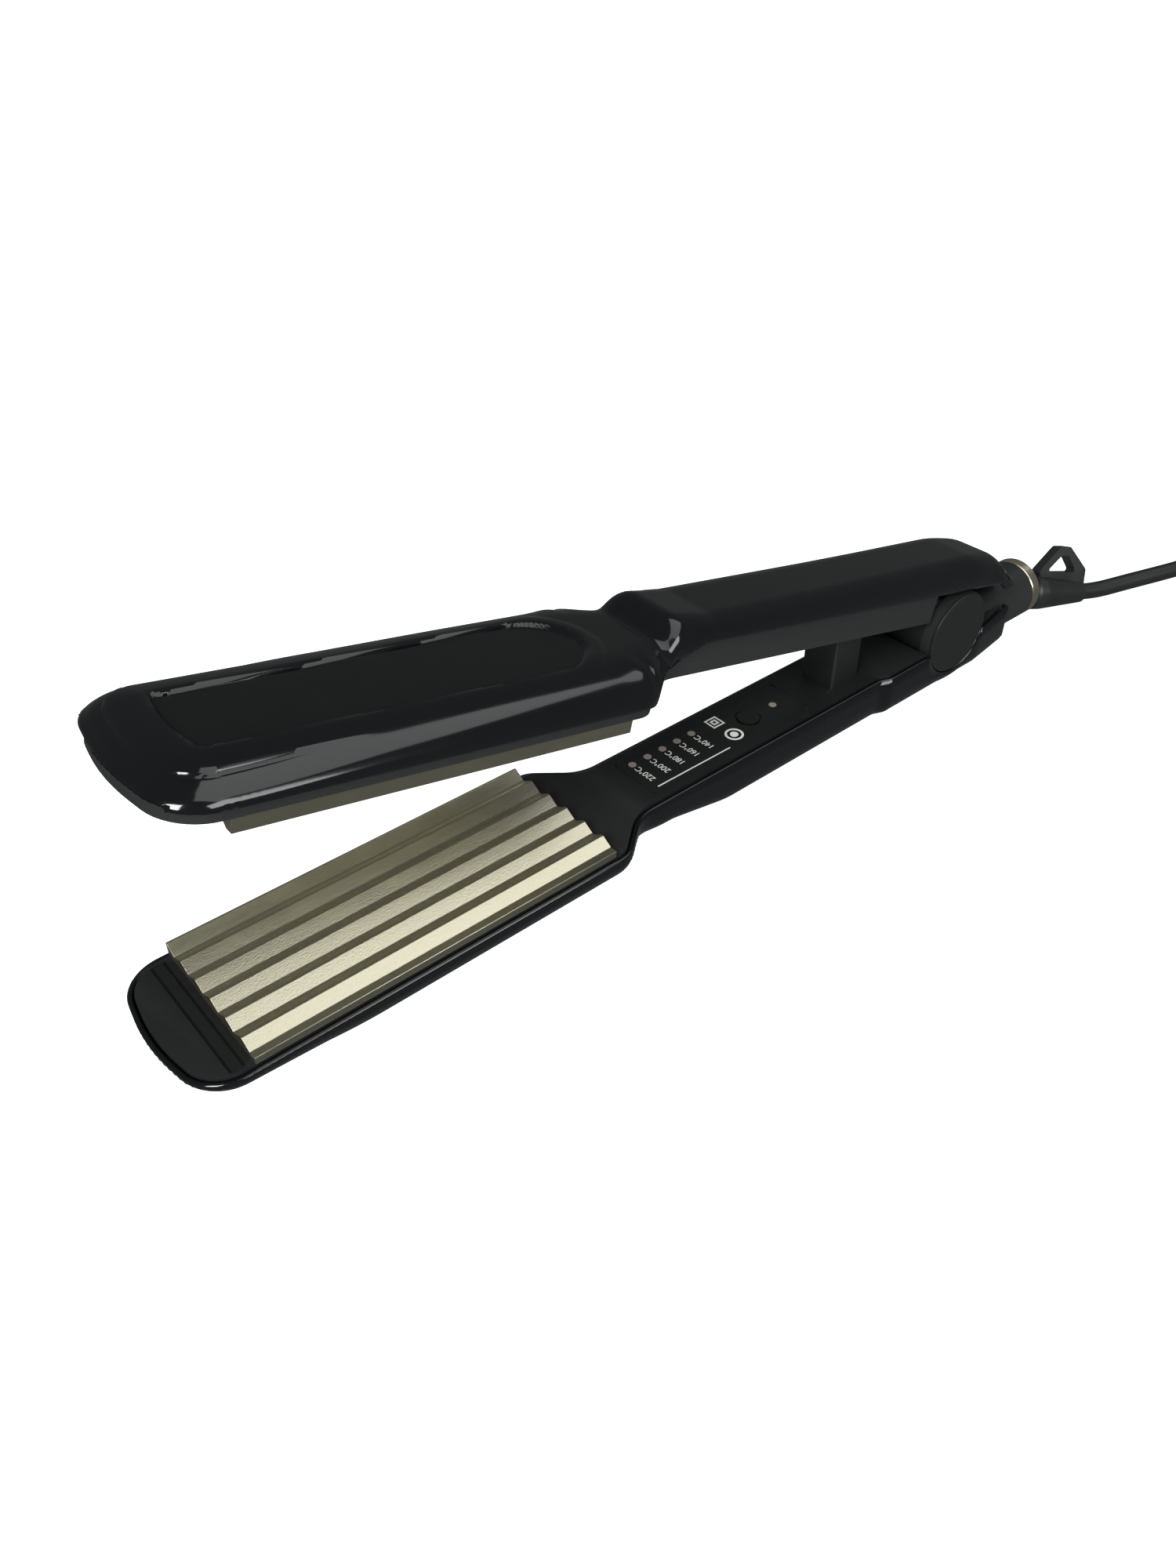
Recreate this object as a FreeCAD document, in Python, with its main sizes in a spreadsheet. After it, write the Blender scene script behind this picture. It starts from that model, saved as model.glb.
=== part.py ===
"""Hair crimper: two hinged arms with mating corrugated heat plates, a control panel,
a sprung hinge and a swivel cord.

Each arm is drawn in hinge coordinates: the origin is on the hinge axis, +X runs towards the
cord, +Z up, and Z = 0 is the plane where the two wave plates mate. A placement then lifts the
lower arm onto the table and swings the upper arm open about the hinge.
"""
import FreeCAD, Part
import math
import os
import Sketcher

V = FreeCAD.Vector

DIMS = {
    # place of the hinge axis in the part's own frame, and the opening angle at rest
    "hinge_x": 110.0, "hinge_z": 19.5, "open_angle": 13.4,
    # outline of both arms, seen from above
    "nose_x": -279.3, "nose_bow": 3.8, "nose_corner": 12.0, "head_w": 23.3,
    "head_tail": -152.5, "neck_x": -140.0, "neck_slope": 0.36, "grip_w": 13.0,
    "ear_x": -33.0, "ear_w": 14.6, "shell_tail": 34.0,
    # heights of the arms
    "face_z": -3.3, "rim_z": -3.9, "base_z": -19.5, "head_base": -15.3,
    "wall": 1.6,
    "lid_t": 2.2, "upper_face": 3.3, "grip_face": 6.0, "head_seam": 6.5, "seam_z": 15.4,
    "head_top": 14.5, "grip_top": 22.0, "upper_tail": 33.0,
    # corrugated plates
    "plate_x": -262.84, "plate_len": 106.0, "plate_w": 22.0, "wave_pitch": 7.6,
    "wave_half": 1.0, "mate_gap": 0.3, "rib_w": 16.0,
    # hinge
    "pin_r": 2.5, "bush_r": 4.0, "knuckle_r": 11.5, "knuckle_w": 9.6, "ear_r": 14.2,
    "cap_r": 14.0, "cap_y": 13.3, "cap_t": 1.3, "run_gap": 0.05,
    # spring post between the arms
    "post_x": -53.5, "post_len": 12.5, "post_w": 6.5, "post_top": 17.5, "spring_r": 2.6,
    "spring_wire": 0.6,
    # control panel
    "panel_x": -131.0, "panel_len": 65.5, "panel_w": 8.5, "panel_t": 0.5,
    "button_x": -84.3, "button_r": 3.5, "led_x": -126.8, "led_step": 5.92, "led_y": 5.4,
    "led_r": 1.2, "power_led_x": -73.5, "board_z": -11.1, "board_t": 1.6,
    # tail and swivel
    "tail_z": -8.3, "tail_r": 10.3, "tail_start": 18.0, "ring_x": 51.0, "ring_len": 5.0,
    "ball_x": 47.0, "ball_r": 9.0, "swivel_dip": 10.5, "swivel_swing": 20.0,
    "loop_roll": -20.0, "boot_len": 36.2, "boot_r": 6.2, "boot_tip_r": 4.0,
    # cord, its hank with two ties, and plug
    "cord_r": 3.0, "hank_x": 238.0, "hank_y": -10.0, "hank_run": 44.0, "hank_out": 27.6,
    "hank_in": 15.2, "hank_low": 0.7, "hank_tall": 24.6, "tie_len": 7.0, "tie_t": 0.6,
    "plug_x": 331.5, "plug_y": -24.0, "plug_z": 6.85,
    # medallion and screws
    "medal_x": -128.5, "medal_r": 6.0,
    "screw_r": 1.3, "screw_head_r": 2.6, "screw_head_t": 1.4, "boss_r": 2.9,
}

doc = FreeCAD.newDocument("hair_crimper")
sheet = doc.addObject("Spreadsheet::Sheet", "dims")
for row, (alias, number) in enumerate(DIMS.items(), start=1):
    sheet.set("A%d" % row, alias)
    sheet.set("B%d" % row, str(number))
    sheet.setAlias("B%d" % row, alias)
doc.recompute()

nodes = {}      # node name -> object


def val(expression):
    """Number that a sheet expression stands for."""
    return float(sheet.evalExpression(expression))


# ---------------------------------------------------------------- helpers

def round_outline(sketch, corners):
    """Draw a closed outline of straight sides with a round at each corner.

    corners holds (x, y, radius) as sheet expressions, and every one stays bound to the sheet.
    """
    points = [V(val(x), val(y), 0) for x, y, radius in corners]
    radii = [val(radius) for x, y, radius in corners]
    count = len(points)
    tangents = []
    for i in range(count):
        back = (points[i - 1] - points[i]).normalize()
        ahead = (points[(i + 1) % count] - points[i]).normalize()
        half = back.getAngle(ahead) / 2
        reach = radii[i] / math.tan(half)
        centre = points[i] + (back + ahead).normalize() * (radii[i] / math.sin(half))
        tangents.append((points[i] + back * reach, points[i] + ahead * reach, centre))
    sides = []
    for i in range(count):
        line = Part.LineSegment(tangents[i][1], tangents[(i + 1) % count][0])
        sides.append(sketch.addGeometry(line, False))
    rules = []
    bound = []
    for i, (x, y, radius) in enumerate(corners):
        before, after = sides[i - 1], sides[i]
        if radii[i] > 0:
            start, end, centre = tangents[i]
            left = (points[i] - points[i - 1]).cross(points[(i + 1) % count] - points[i]).z > 0
            spoke, other = (start - centre, end - centre) if left else (end - centre, start - centre)
            low = math.atan2(spoke.y, spoke.x)
            high = math.atan2(other.y, other.x)
            if high < low:
                high += 2 * math.pi
            circle = Part.Circle(centre, V(0, 0, 1), radii[i])
            arc = sketch.addGeometry(Part.ArcOfCircle(circle, low, high), False)
            first = 1 if left else 2
            rules.append(Sketcher.Constraint("Tangent", before, 2, arc, first))
            rules.append(Sketcher.Constraint("Tangent", arc, 3 - first, after, 1))
            bound.append((len(rules), radius))
            rules.append(Sketcher.Constraint("Radius", arc, radii[i]))
            mark = sketch.addGeometry(Part.Point(points[i]), True)
            rules.append(Sketcher.Constraint("PointOnObject", mark, 1, before))
            rules.append(Sketcher.Constraint("PointOnObject", mark, 1, after))
        else:
            rules.append(Sketcher.Constraint("Coincident", before, 2, after, 1))
            mark = after
        for kind, place, number in (("DistanceX", x, points[i].x), ("DistanceY", y, points[i].y)):
            bound.append((len(rules), place))
            rules.append(Sketcher.Constraint(kind, -1, 1, mark, 1, number))
    sketch.addConstraint(rules)
    for index, expression in bound:
        sketch.setExpression("Constraints[%d]" % index, expression)


def padded(name, plane, corners, low, high):
    """Body padded from an outline: between two Z heights (XY plane) or two Y values (XZ plane)."""
    body = doc.addObject("PartDesign::Body", name)
    sketch = body.newObject("Sketcher::SketchObject", name + "_outline")
    role = {"XY": "XY_Plane", "XZ": "XZ_Plane", "YZ": "YZ_Plane"}[plane]
    datum = [entry for entry in body.Origin.OriginFeatures if entry.Role == role][0]
    sketch.AttachmentSupport = [(datum, "")]
    sketch.MapMode = "FlatFace"
    # the XZ plane's normal points to -Y, so its low and high ends swap over
    offset = low if plane != "XZ" else "-(%s)" % high
    sketch.setExpression("AttachmentOffset.Base.z", offset)
    round_outline(sketch, corners)
    pad = body.newObject("PartDesign::Pad", name + "_pad")
    pad.Profile = sketch
    pad.setExpression("Length", "(%s) - (%s)" % (high, low))
    body.Tip = pad
    return body


def box(name, x, y, z, long, wide, tall):
    """Block from its lowest corner and its three sizes, all sheet expressions."""
    block = doc.addObject("Part::Box", name)
    for key, expression in (("Length", long), ("Width", wide), ("Height", tall)):
        block.setExpression(key, expression)
    for key, expression in (("x", x), ("y", y), ("z", z)):
        block.setExpression("Placement.Base." + key, expression)
    return block


def rod(name, axis, x, y, z, radius, length):
    """Cylinder that starts at a point and runs along X, Y or Z."""
    cylinder = doc.addObject("Part::Cylinder", name)
    turn = {"X": (V(0, 1, 0), 90), "Y": (V(1, 0, 0), -90), "Z": (V(0, 0, 1), 0)}[axis]
    cylinder.Placement = FreeCAD.Placement(V(0, 0, 0), FreeCAD.Rotation(*turn))
    cylinder.setExpression("Radius", radius)
    cylinder.setExpression("Height", length)
    for key, expression in (("x", x), ("y", y), ("z", z)):
        cylinder.setExpression("Placement.Base." + key, expression)
    return cylinder


def joined(name, shapes):
    fuse = doc.addObject("Part::MultiFuse", name)
    fuse.Shapes = shapes
    return fuse


def shared(name, base, tool):
    common = doc.addObject("Part::Common", name)
    common.Base = base
    common.Tool = tool
    return common


def cut(name, base, tools):
    """The base with one tool, or several joined tools, taken away."""
    result = doc.addObject("Part::Cut", name)
    result.Base = base
    result.Tool = tools[0] if len(tools) == 1 else joined(name + "_tools", tools)
    return result


def group(name, solids):
    compound = doc.addObject("Part::Compound", name)
    compound.Links = solids
    return compound


def turned(name, profile, x, y, z):
    """Solid of revolution about an axis along X; profile holds (x, radius) expressions."""
    body = doc.addObject("PartDesign::Body", name)
    sketch = body.newObject("Sketcher::SketchObject", name + "_profile")
    datum = [entry for entry in body.Origin.OriginFeatures if entry.Role == "XZ_Plane"][0]
    sketch.AttachmentSupport = [(datum, "")]
    sketch.MapMode = "FlatFace"
    round_outline(sketch, [(px, pr, "0") for px, pr in profile])
    turn = body.newObject("PartDesign::Revolution", name + "_turn")
    turn.Profile = sketch
    turn.ReferenceAxis = (sketch, ["H_Axis"])
    turn.Angle = 360
    body.Tip = turn
    for key, expression in (("x", x), ("y", y), ("z", z)):
        body.setExpression("Placement.Base." + key, expression)
    return body


def finish(name, source, arm):
    """Name a finished sub-part and put it in the part's own frame with its arm."""
    free = source.TypeId in ("Part::Compound", "Part::Cut", "Part::Fillet")
    target = source if free else group(name + "_part", [source])
    target.Label = name
    target.setExpression("Placement.Base.x", "dims.hinge_x")
    target.setExpression("Placement.Base.z", "dims.hinge_z")
    if arm == "upper":
        target.Placement.Rotation = FreeCAD.Rotation(V(0, 1, 0), 1)
        target.setExpression("Placement.Rotation.Angle", "dims.open_angle * 1 deg")
    nodes[name] = target
    return target


def mirrored_corners(half):
    """Whole outline from its -Y half, listed from the nose to the tail."""
    other = [(x, "-(%s)" % y, radius) for x, y, radius in reversed(half)]
    return half + other


# ---------------------------------------------------------------- outlines of the arms

def arm_outline(inset, tail, tail_w, tail_round):
    """Arm seen from above: bowed nose, wide head, sloping neck, grip and hinge ears."""
    inset = "(%s)" % inset
    half = [
        ("dims.nose_x + dims.nose_bow + %s" % inset, "-(dims.head_w - %s)" % inset,
         "dims.nose_corner - %s" % inset),
        ("dims.head_tail - dims.neck_slope * %s" % inset, "-(dims.head_w - %s)" % inset,
         "8 - %s" % inset),
        ("dims.neck_x - dims.neck_slope * %s" % inset, "-(dims.grip_w - %s)" % inset,
         "14 + %s" % inset),
        ("dims.ear_x - 4", "-(dims.grip_w - %s)" % inset, "3"),
        ("dims.ear_x", "-(dims.ear_w - %s)" % inset, "3"),
        ("14", "-(dims.ear_w - %s)" % inset, "6"),
        (tail, "-(%s)" % tail_w, tail_round),
    ]
    return mirrored_corners(half) + [("dims.nose_x + %s" % inset, "0", "60")]


def slim_outline(inset, tail, tail_round):
    """Upper arm seen from above: the same head and neck, and a straight grip."""
    inset = "(%s)" % inset
    half = [
        ("dims.nose_x + dims.nose_bow + %s" % inset, "-(dims.head_w - %s)" % inset,
         "dims.nose_corner - %s" % inset),
        ("dims.head_tail - dims.neck_slope * %s" % inset, "-(dims.head_w - %s)" % inset,
         "8 - %s" % inset),
        ("dims.neck_x - dims.neck_slope * %s" % inset, "-(dims.grip_w - %s)" % inset,
         "14 + %s" % inset),
        (tail, "-(dims.grip_w - %s)" % inset, tail_round),
    ]
    return mirrored_corners(half) + [("dims.nose_x + %s" % inset, "0", "60")]


def lower_side(inset):
    """Lower arm seen from the side: it rests on the grip; the head is shallower."""
    inset = "(%s)" % inset
    return [
        ("dims.shell_tail + 20", "dims.base_z + %s" % inset, "0"),
        ("-104", "dims.base_z + %s" % inset, "30"),
        ("-126", "dims.head_base + %s" % inset, "20"),
        ("-236", "dims.head_base + %s" % inset, "120"),
        ("dims.nose_x - 6", "-9.6 + %s" % inset, "0"),
        ("dims.nose_x - 6", "30", "0"),
        ("dims.shell_tail + 20", "30", "0"),
    ]


def upper_side(inset):
    """Upper arm's top seen from the side: nose, head, raised knuckle and grip."""
    inset = "(%s)" % inset
    return [
        ("dims.nose_x - 8", "6.2 - %s" % inset, "0"),
        ("-270", "dims.head_top - 2 - %s" % inset, "30"),
        ("-160", "dims.head_top + 0.3 - %s" % inset, "20"),
        ("-141", "dims.head_top + 0.9 - %s" % inset, "5"),
        ("-136", "dims.grip_top - 1.2 - %s" % inset, "4"),
        ("-121", "dims.grip_top - 2.7 - %s" % inset, "20"),
        ("-60", "dims.grip_top - 1 - %s" % inset, "80"),
        ("2", "dims.grip_top + 1.2 - %s" % inset, "40"),
        ("17", "dims.grip_top + 0.4 - %s" % inset, "16"),
        ("dims.upper_tail + 4", "10.5 - %s" % inset, "0"),
        ("dims.upper_tail + 4", "-30", "0"),
        ("dims.nose_x - 8", "-30", "0"),
    ]


def seam_side():
    """Region above the seam between the gloss shell and the satin frame of the upper arm."""
    return [
        ("dims.nose_x - 10", "dims.head_seam", "0"),
        ("-151.5", "dims.head_seam", "1.5"),
        ("-150", "9.5", "1.5"),
        ("-139", "10.5", "6"),
        ("-126", "dims.seam_z", "12"),
        ("18", "dims.seam_z", "3"),
        ("22", "12.5", "3"),
        ("dims.upper_tail + 12", "12.5", "0"),
        ("dims.upper_tail + 12", "40", "0"),
        ("dims.nose_x - 10", "40", "0"),
    ]


def softened(name, base, radius, wanted):
    """Fillet the edges of base that wanted(edge) picks."""
    doc.recompute()
    fillet = doc.addObject("Part::Fillet", name)
    fillet.Base = base
    picked = [i for i, edge in enumerate(base.Shape.Edges, start=1) if wanted(edge)]
    fillet.Edges = [(i, radius, radius) for i in picked]
    return fillet


# ---------------------------------------------------------------- fasteners and bosses

LOWER_SCREWS = (-62.0, -24.0)
UPPER_SCREWS = (-130.0, -95.0, -24.0)


def screws(name, places, head_low, arm):
    """Self-tapping screws that point up, each with a slotted head and a shank 9 long."""
    solids = []
    for number, x in enumerate(places, start=1):
        own = "%s_%d" % (name, number)
        head = rod(own + "_head", "Z", str(x), "0", head_low, "dims.screw_head_r",
                   "dims.screw_head_t")
        shank = rod(own + "_shank", "Z", str(x), "0", "%s + dims.screw_head_t" % head_low,
                    "dims.screw_r", "9")
        slot = box(own + "_slot", "%s - 2" % x, "-0.3", "%s - 0.3" % head_low, "4", "0.6", "0.6")
        solids.append(cut(own + "_screw", joined(own + "_whole", [head, shank]), [slot]))
    return finish(name, group(name + "_set", solids), arm)


def uprights(prefix, places, low, radius, height):
    """One upright cylinder at each place along the arm."""
    return [rod("%s_%d" % (prefix, number), "Z", str(x), "0", low, radius, height)
            for number, x in enumerate(places, start=1)]


# ---------------------------------------------------------------- lower arm casing

def lower_outer_shell():
    outside = shared(
        "lower_shell_block",
        padded("lower_shell_plan", "XY",
               arm_outline("0", "dims.shell_tail", "12", "2"), "-40", "dims.rim_z"),
        padded("lower_shell_side", "XZ", lower_side("0"), "-40", "40"))
    rounded = softened("lower_shell_round", outside, 6.0,
                       lambda edge: edge.BoundBox.ZMax < val("dims.rim_z") - 0.1
                       and edge.BoundBox.XMax < val("dims.shell_tail") - 1)
    hollow = shared(
        "lower_hollow_block",
        padded("lower_hollow_plan", "XY",
               arm_outline("dims.wall", "dims.shell_tail - dims.wall", "10.4", "1"), "-30", "5"),
        padded("lower_hollow_side", "XZ", lower_side("dims.wall"), "-35", "35"))
    soft_hollow = softened("lower_hollow_round", hollow, 4.4,
                           lambda edge: edge.BoundBox.ZMax < val("dims.rim_z") - 0.1
                           and edge.BoundBox.XMax < val("dims.shell_tail") - 3)
    cap_recess = rod("lower_cap_recess", "Y", "0", "-20", "0", "dims.cap_r + 0.3", "40")
    tail_seat = rod("lower_tail_seat", "X", "dims.tail_start", "0", "dims.tail_z",
                    "dims.tail_r", "40")
    tail_notch = box("lower_tail_notch", "dims.tail_start", "-7", "dims.base_z - 1", "40", "14", "8")
    lid_seat = padded("lower_lid_seat", "XY",
                      arm_outline("dims.wall - 0.2", "dims.shell_tail - dims.wall + 0.2", "10.6", "1"),
                      "dims.face_z - dims.lid_t - 0.1", "5")
    holes = uprights("lower_shell_hole", LOWER_SCREWS, "dims.base_z - 1", "dims.screw_r", "6")
    seats = uprights("lower_shell_seat", LOWER_SCREWS, "dims.base_z - 1", "dims.screw_head_r",
                     "1.2 + dims.screw_head_t")
    pads = uprights("lower_pad", LOWER_SCREWS, "dims.base_z + 0.6", "4.2", "2.2")
    tray = cut("lower_tray", rounded, [soft_hollow, lid_seat])
    padded_tray = joined("lower_padded_tray", [tray] + pads)
    shell = cut("lower_shell_cut", padded_tray,
                [cap_recess, tail_seat, tail_notch] + holes + seats)
    return finish("lower_outer_shell", shell, "lower")


def lower_inner_frame():
    lid = padded("lower_lid", "XY",
                 arm_outline("dims.wall + 0.05", "dims.shell_tail - 2.4", "9.6", "1"),
                 "dims.face_z - dims.lid_t", "dims.face_z")
    cheeks = []
    for side, low in (("near", "-dims.cap_y"), ("far", "dims.knuckle_w + 0.4")):
        cheeks.append(rod("lower_cheek_" + side, "Y", "0", low, "0", "dims.ear_r",
                          "dims.cap_y - dims.knuckle_w - 0.4"))
    bosses = uprights("lower_boss", LOWER_SCREWS, "dims.base_z + 2.8", "dims.boss_r", "12.4")
    post = box("spring_post_block", "dims.post_x", "-dims.post_w", "dims.face_z - 10",
               "dims.post_len", "2 * dims.post_w", "dims.post_top - dims.face_z + 10")
    doc.recompute()
    soft_post = softened("spring_post_round", post, 1.2,
                         lambda edge: edge.BoundBox.ZLength > 20)
    solid = joined("lower_frame_solid", [lid] + cheeks + bosses + [soft_post])
    bore = box("spring_post_bore", "dims.post_x + 1.6", "-4", "dims.face_z - 20",
               "dims.post_len - 2.6", "8", "60")
    window = box("lower_plate_window", "dims.plate_x + 2.6", "-dims.rib_w - 0.4", "-20",
                 "dims.plate_len - 5.2", "2 * dims.rib_w + 0.8", "30")
    recess = box("lower_panel_recess", "dims.panel_x - 0.1", "-dims.panel_w - 0.1",
                 "dims.face_z - dims.panel_t", "dims.panel_len + 0.2", "2 * dims.panel_w + 0.2",
                 "5")
    knuckle_room = box("lower_knuckle_room", "-14.5", "-dims.knuckle_w - 0.4", "-30", "32",
                       "2 * dims.knuckle_w + 0.8", "60")
    button_hole = rod("lower_button_hole", "Z", "dims.button_x", "0", "-20",
                      "dims.button_r + 0.1", "30")
    led_holes = []
    for i in range(5):
        led_holes.append(rod("lower_led_hole_%d" % i, "Z", "dims.led_x + %d * dims.led_step" % i,
                             "dims.led_y", "-20", "dims.led_r", "30"))
    led_holes.append(rod("lower_power_hole", "Z", "dims.power_led_x", "0", "-20",
                         "dims.led_r", "30"))
    pin_bore = rod("lower_pin_bore", "Y", "0", "-20", "0", "dims.pin_r", "40")
    tail_room = rod("lower_tail_room", "X", "dims.tail_start", "0", "dims.tail_z",
                    "dims.tail_r + 0.1", "40")
    nose_grooves = [box("lower_nose_groove_%d" % i, "dims.plate_x - %s" % reach, "-20.3",
                        "dims.face_z - 0.5", "0.7", "40.6", "2")
                    for i, reach in enumerate(("2.4", "5.6"))]
    screw_bores = uprights("lower_frame_hole", LOWER_SCREWS, "dims.base_z", "dims.screw_r", "11.5")
    wire_slot = box("lower_wire_slot", "-35", "3.5", "-10", "7", "4.3", "10")
    frame = cut("lower_frame_cut", solid,
                [bore, window, recess, knuckle_room, button_hole, pin_bore, tail_room, wire_slot]
                + led_holes + nose_grooves + screw_bores)
    return finish("lower_inner_frame", frame, "lower")


# ---------------------------------------------------------------- upper arm casing

def upper_block(name, inset, tail, tail_round):
    """Whole outside of the upper arm, shrunk by an inset on the sides and the top."""
    plan = padded(name + "_plan", "XY", slim_outline(inset, tail, tail_round), "-20", "60")
    side = padded(name + "_side", "XZ", upper_side(inset), "-40", "40")
    return shared(name, plan, side)


def roof_edge(solid, edge):
    """True for an edge between a roof face and an upright side."""
    steep = []
    for face in solid.ancestorsOfType(edge, Part.Face):
        across, along = face.Surface.parameter(edge.valueAt(edge.FirstParameter))
        steep.append(abs(face.normalAt(across, along).z))
    return max(steep) > 0.5 and min(steep) < 0.05 and edge.BoundBox.ZMax > 5


def upper_outer_shell():
    whole = upper_block("upper_shell_whole", "0", "dims.upper_tail", "10")
    soft = softened("upper_shell_round", whole, 4.0, lambda edge: roof_edge(whole.Shape, edge))
    above = padded("upper_shell_above", "XZ", seam_side(), "-40", "40")
    rounded = shared("upper_shell_block", soft, above)
    hollow = upper_block("upper_hollow", "dims.wall", "dims.upper_tail - dims.wall", "8.4")
    recess = roof_slab("upper_recess", "0.1", "-6", "0.8")
    medallion_seat = rod("upper_medallion_seat", "Z", "dims.medal_x", "0", "dims.grip_top - 3.3",
                         "dims.medal_r + 0.1", "9")
    ears = rod("upper_ear_room", "Y", "0", "-20", "0", "dims.ear_r + 0.6", "40")
    tray = cut("upper_shell_tray", rounded, [hollow])
    bosses = []
    for number, (x, top) in enumerate(zip(UPPER_SCREWS, ("19.4", "19.3", "21.5")), start=1):
        bosses.append(rod("upper_shell_boss_%d" % number, "Z", str(x), "0", "12.9",
                          "dims.boss_r", "%s - 12.9" % top))
    holes = uprights("upper_shell_hole", UPPER_SCREWS, "10", "dims.screw_r", "7.2")
    shell = cut("upper_shell_cut", joined("upper_shell_bossed", [tray] + bosses),
                [recess, medallion_seat, ears] + holes)
    return finish("upper_outer_shell", shell, "upper")


def inlay_outline(grow):
    """Trim panel seen from above: a shallow arc at the nose and a rounder one at the neck."""
    half = [
        ("-266 - %s" % grow, "-(13.2 + %s)" % grow, "3"),
        ("-170 + %s" % grow, "-(14.8 + %s)" % grow, "12"),
    ]
    return mirrored_corners(half)[:2] + [("-152.4 + %s" % grow, "0", "10")] \
        + mirrored_corners(half)[2:] + [("-268.5 - %s" % grow, "0", "50")]


def roof_slab(name, grow, top, bottom):
    """Slab that follows the head's roof, between two insets from the arm's outside."""
    plan = padded(name + "_area", "XY", inlay_outline(grow), "5", "40")
    over = upper_block(name + "_over", top, "-16", "1")
    under = upper_block(name + "_under", bottom, "-16", "1")
    return cut(name + "_slab", shared(name + "_top", plan, over), [under])


def upper_inner_frame():
    whole = upper_block("upper_frame_whole", "0.35", "-16", "1")
    below = padded("upper_frame_below", "XZ", [
        ("dims.nose_x - 10", "dims.upper_face", "0"),
        ("-150", "dims.upper_face", "2"),
        ("-144", "dims.grip_face", "2"),
        ("-17", "dims.grip_face - 0.8", "0"),
        ("-17", "dims.seam_z - 0.1", "0"),
        ("-126", "dims.seam_z - 0.1", "12"),
        ("-139", "10.4", "6"),
        ("-149.9", "9.4", "1.5"),
        ("-151.4", "dims.head_seam - 0.1", "1.5"),
        ("dims.nose_x - 10", "dims.head_seam - 0.1", "0"),
    ], "-40", "40")
    inside_plan = padded("upper_frame_inside_plan", "XY",
                         slim_outline("dims.wall + 0.5", "-19", "1"), "dims.upper_face + 2", "60")
    block = shared("upper_frame_block", whole, below)
    grip_floor = box("upper_frame_grip_floor", "-143", "-30", "0", "150", "60",
                     "dims.grip_face + 2")
    deep_inside = cut("upper_frame_inside", inside_plan, [grip_floor])
    knuckle = rod("upper_knuckle", "Y", "0", "-dims.knuckle_w", "0", "dims.knuckle_r",
                  "2 * dims.knuckle_w")
    arm = box("upper_knuckle_arm", "-22", "-dims.knuckle_w", "dims.grip_face - 0.6", "22",
              "2 * dims.knuckle_w", "5.5")
    bosses = uprights("upper_boss", UPPER_SCREWS, "dims.grip_face", "dims.boss_r", "6.8")
    tray = cut("upper_frame_tray", block, [deep_inside])
    solid = joined("upper_frame_solid", [tray, knuckle, arm] + bosses)
    window = box("upper_plate_window", "dims.plate_x + 2.6", "-dims.rib_w - 0.4", "-5",
                 "dims.plate_len - 5.2", "2 * dims.rib_w + 0.8", "30")
    post_slot = box("upper_post_slot", "dims.post_x - 4", "-dims.post_w - 0.9", "-5",
                    "dims.post_len + 7.5", "2 * dims.post_w + 1.8", "18")
    bush_bore = rod("upper_bush_bore", "Y", "0", "-20", "0", "dims.bush_r", "40")
    wire_slot = box("upper_wire_slot", "-36", "3", "-5", "8", "5", "18")
    holes = uprights("upper_frame_hole", UPPER_SCREWS, "0", "dims.screw_r", "18")
    seats = uprights("upper_frame_seat", UPPER_SCREWS, "0", "dims.screw_head_r",
                     "dims.grip_face + dims.screw_head_t")
    frame = cut("upper_frame_cut", solid, [window, post_slot, bush_bore, wire_slot]
                + holes + seats)
    return finish("upper_inner_frame", frame, "upper")


def upper_trim_panel():
    return finish("upper_trim_panel", roof_slab("upper_trim", "0", "-0.2", "0.75"), "upper")


def medallion():
    disc = turned("medallion_disc", [("0", "0"), ("1.6", "0"), ("1.6", "3"), ("1.2", "3.4"),
                                     ("1.2", "4.6"), ("1.6", "5"), ("1.2", "6"), ("0", "6")],
                  "0", "0", "0")
    disc.Placement.Rotation = FreeCAD.Rotation(V(0, 1, 0), -90)
    disc.setExpression("Placement.Base.x", "dims.medal_x")
    disc.setExpression("Placement.Base.z", "dims.grip_top - 3.3")
    return finish("medallion", disc, "upper")


# ---------------------------------------------------------------- heat plates and heaters

def wave_plate(name, upward, arm):
    """Aluminium plate with a trapezoid wave across its width and a rib that enters the head.

    The lower plate has a crest at +Y and a valley at -Y, and the upper plate is its mate.
    """
    pitch = val("dims.wave_pitch")
    half = val("dims.wave_half")
    width = val("dims.plate_w")
    middle = (-1 if upward else 1) * val("dims.mate_gap") / 2
    flat = 0.6
    back = (-1 if upward else 1) * (val("dims.upper_face") - 0.05)
    surface = []
    place = width
    high = True
    while place > -width:
        level = middle + (half if high else -half)
        surface.append(V(0, place, level))
        surface.append(V(0, max(place - flat, -width), level))
        place -= pitch / 2
        high = not high
    surface = [point for point in surface if point.y >= -width]
    last = surface[-1]
    if last.y > -width:
        surface.append(V(0, -width, last.z))
    outline = surface + [V(0, -width, back), V(0, width, back)]
    face = Part.Face(Part.makePolygon(outline + [outline[0]]))
    slab = face.extrude(V(val("dims.plate_len"), 0, 0))
    slab.translate(V(val("dims.plate_x"), 0, 0))
    plate = doc.addObject("Part::Feature", name + "_wave")
    plate.Shape = slab
    depth = "2.7"
    low = "-dims.upper_face + 0.05 - %s" % depth if upward else "dims.upper_face - 0.05"
    rib = box(name + "_rib", "dims.plate_x + 3", "-dims.rib_w", low,
              "dims.plate_len - 6", "2 * dims.rib_w", depth)
    whole = joined(name + "_whole", [plate, rib])
    groove = box(name + "_groove", "dims.plate_x + 16", "-9.2",
                 low if upward else "dims.upper_face + 0.65", "dims.plate_len - 32", "18.4", "2")
    return finish(name, cut(name + "_cut", whole, [groove]), arm)


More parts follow.
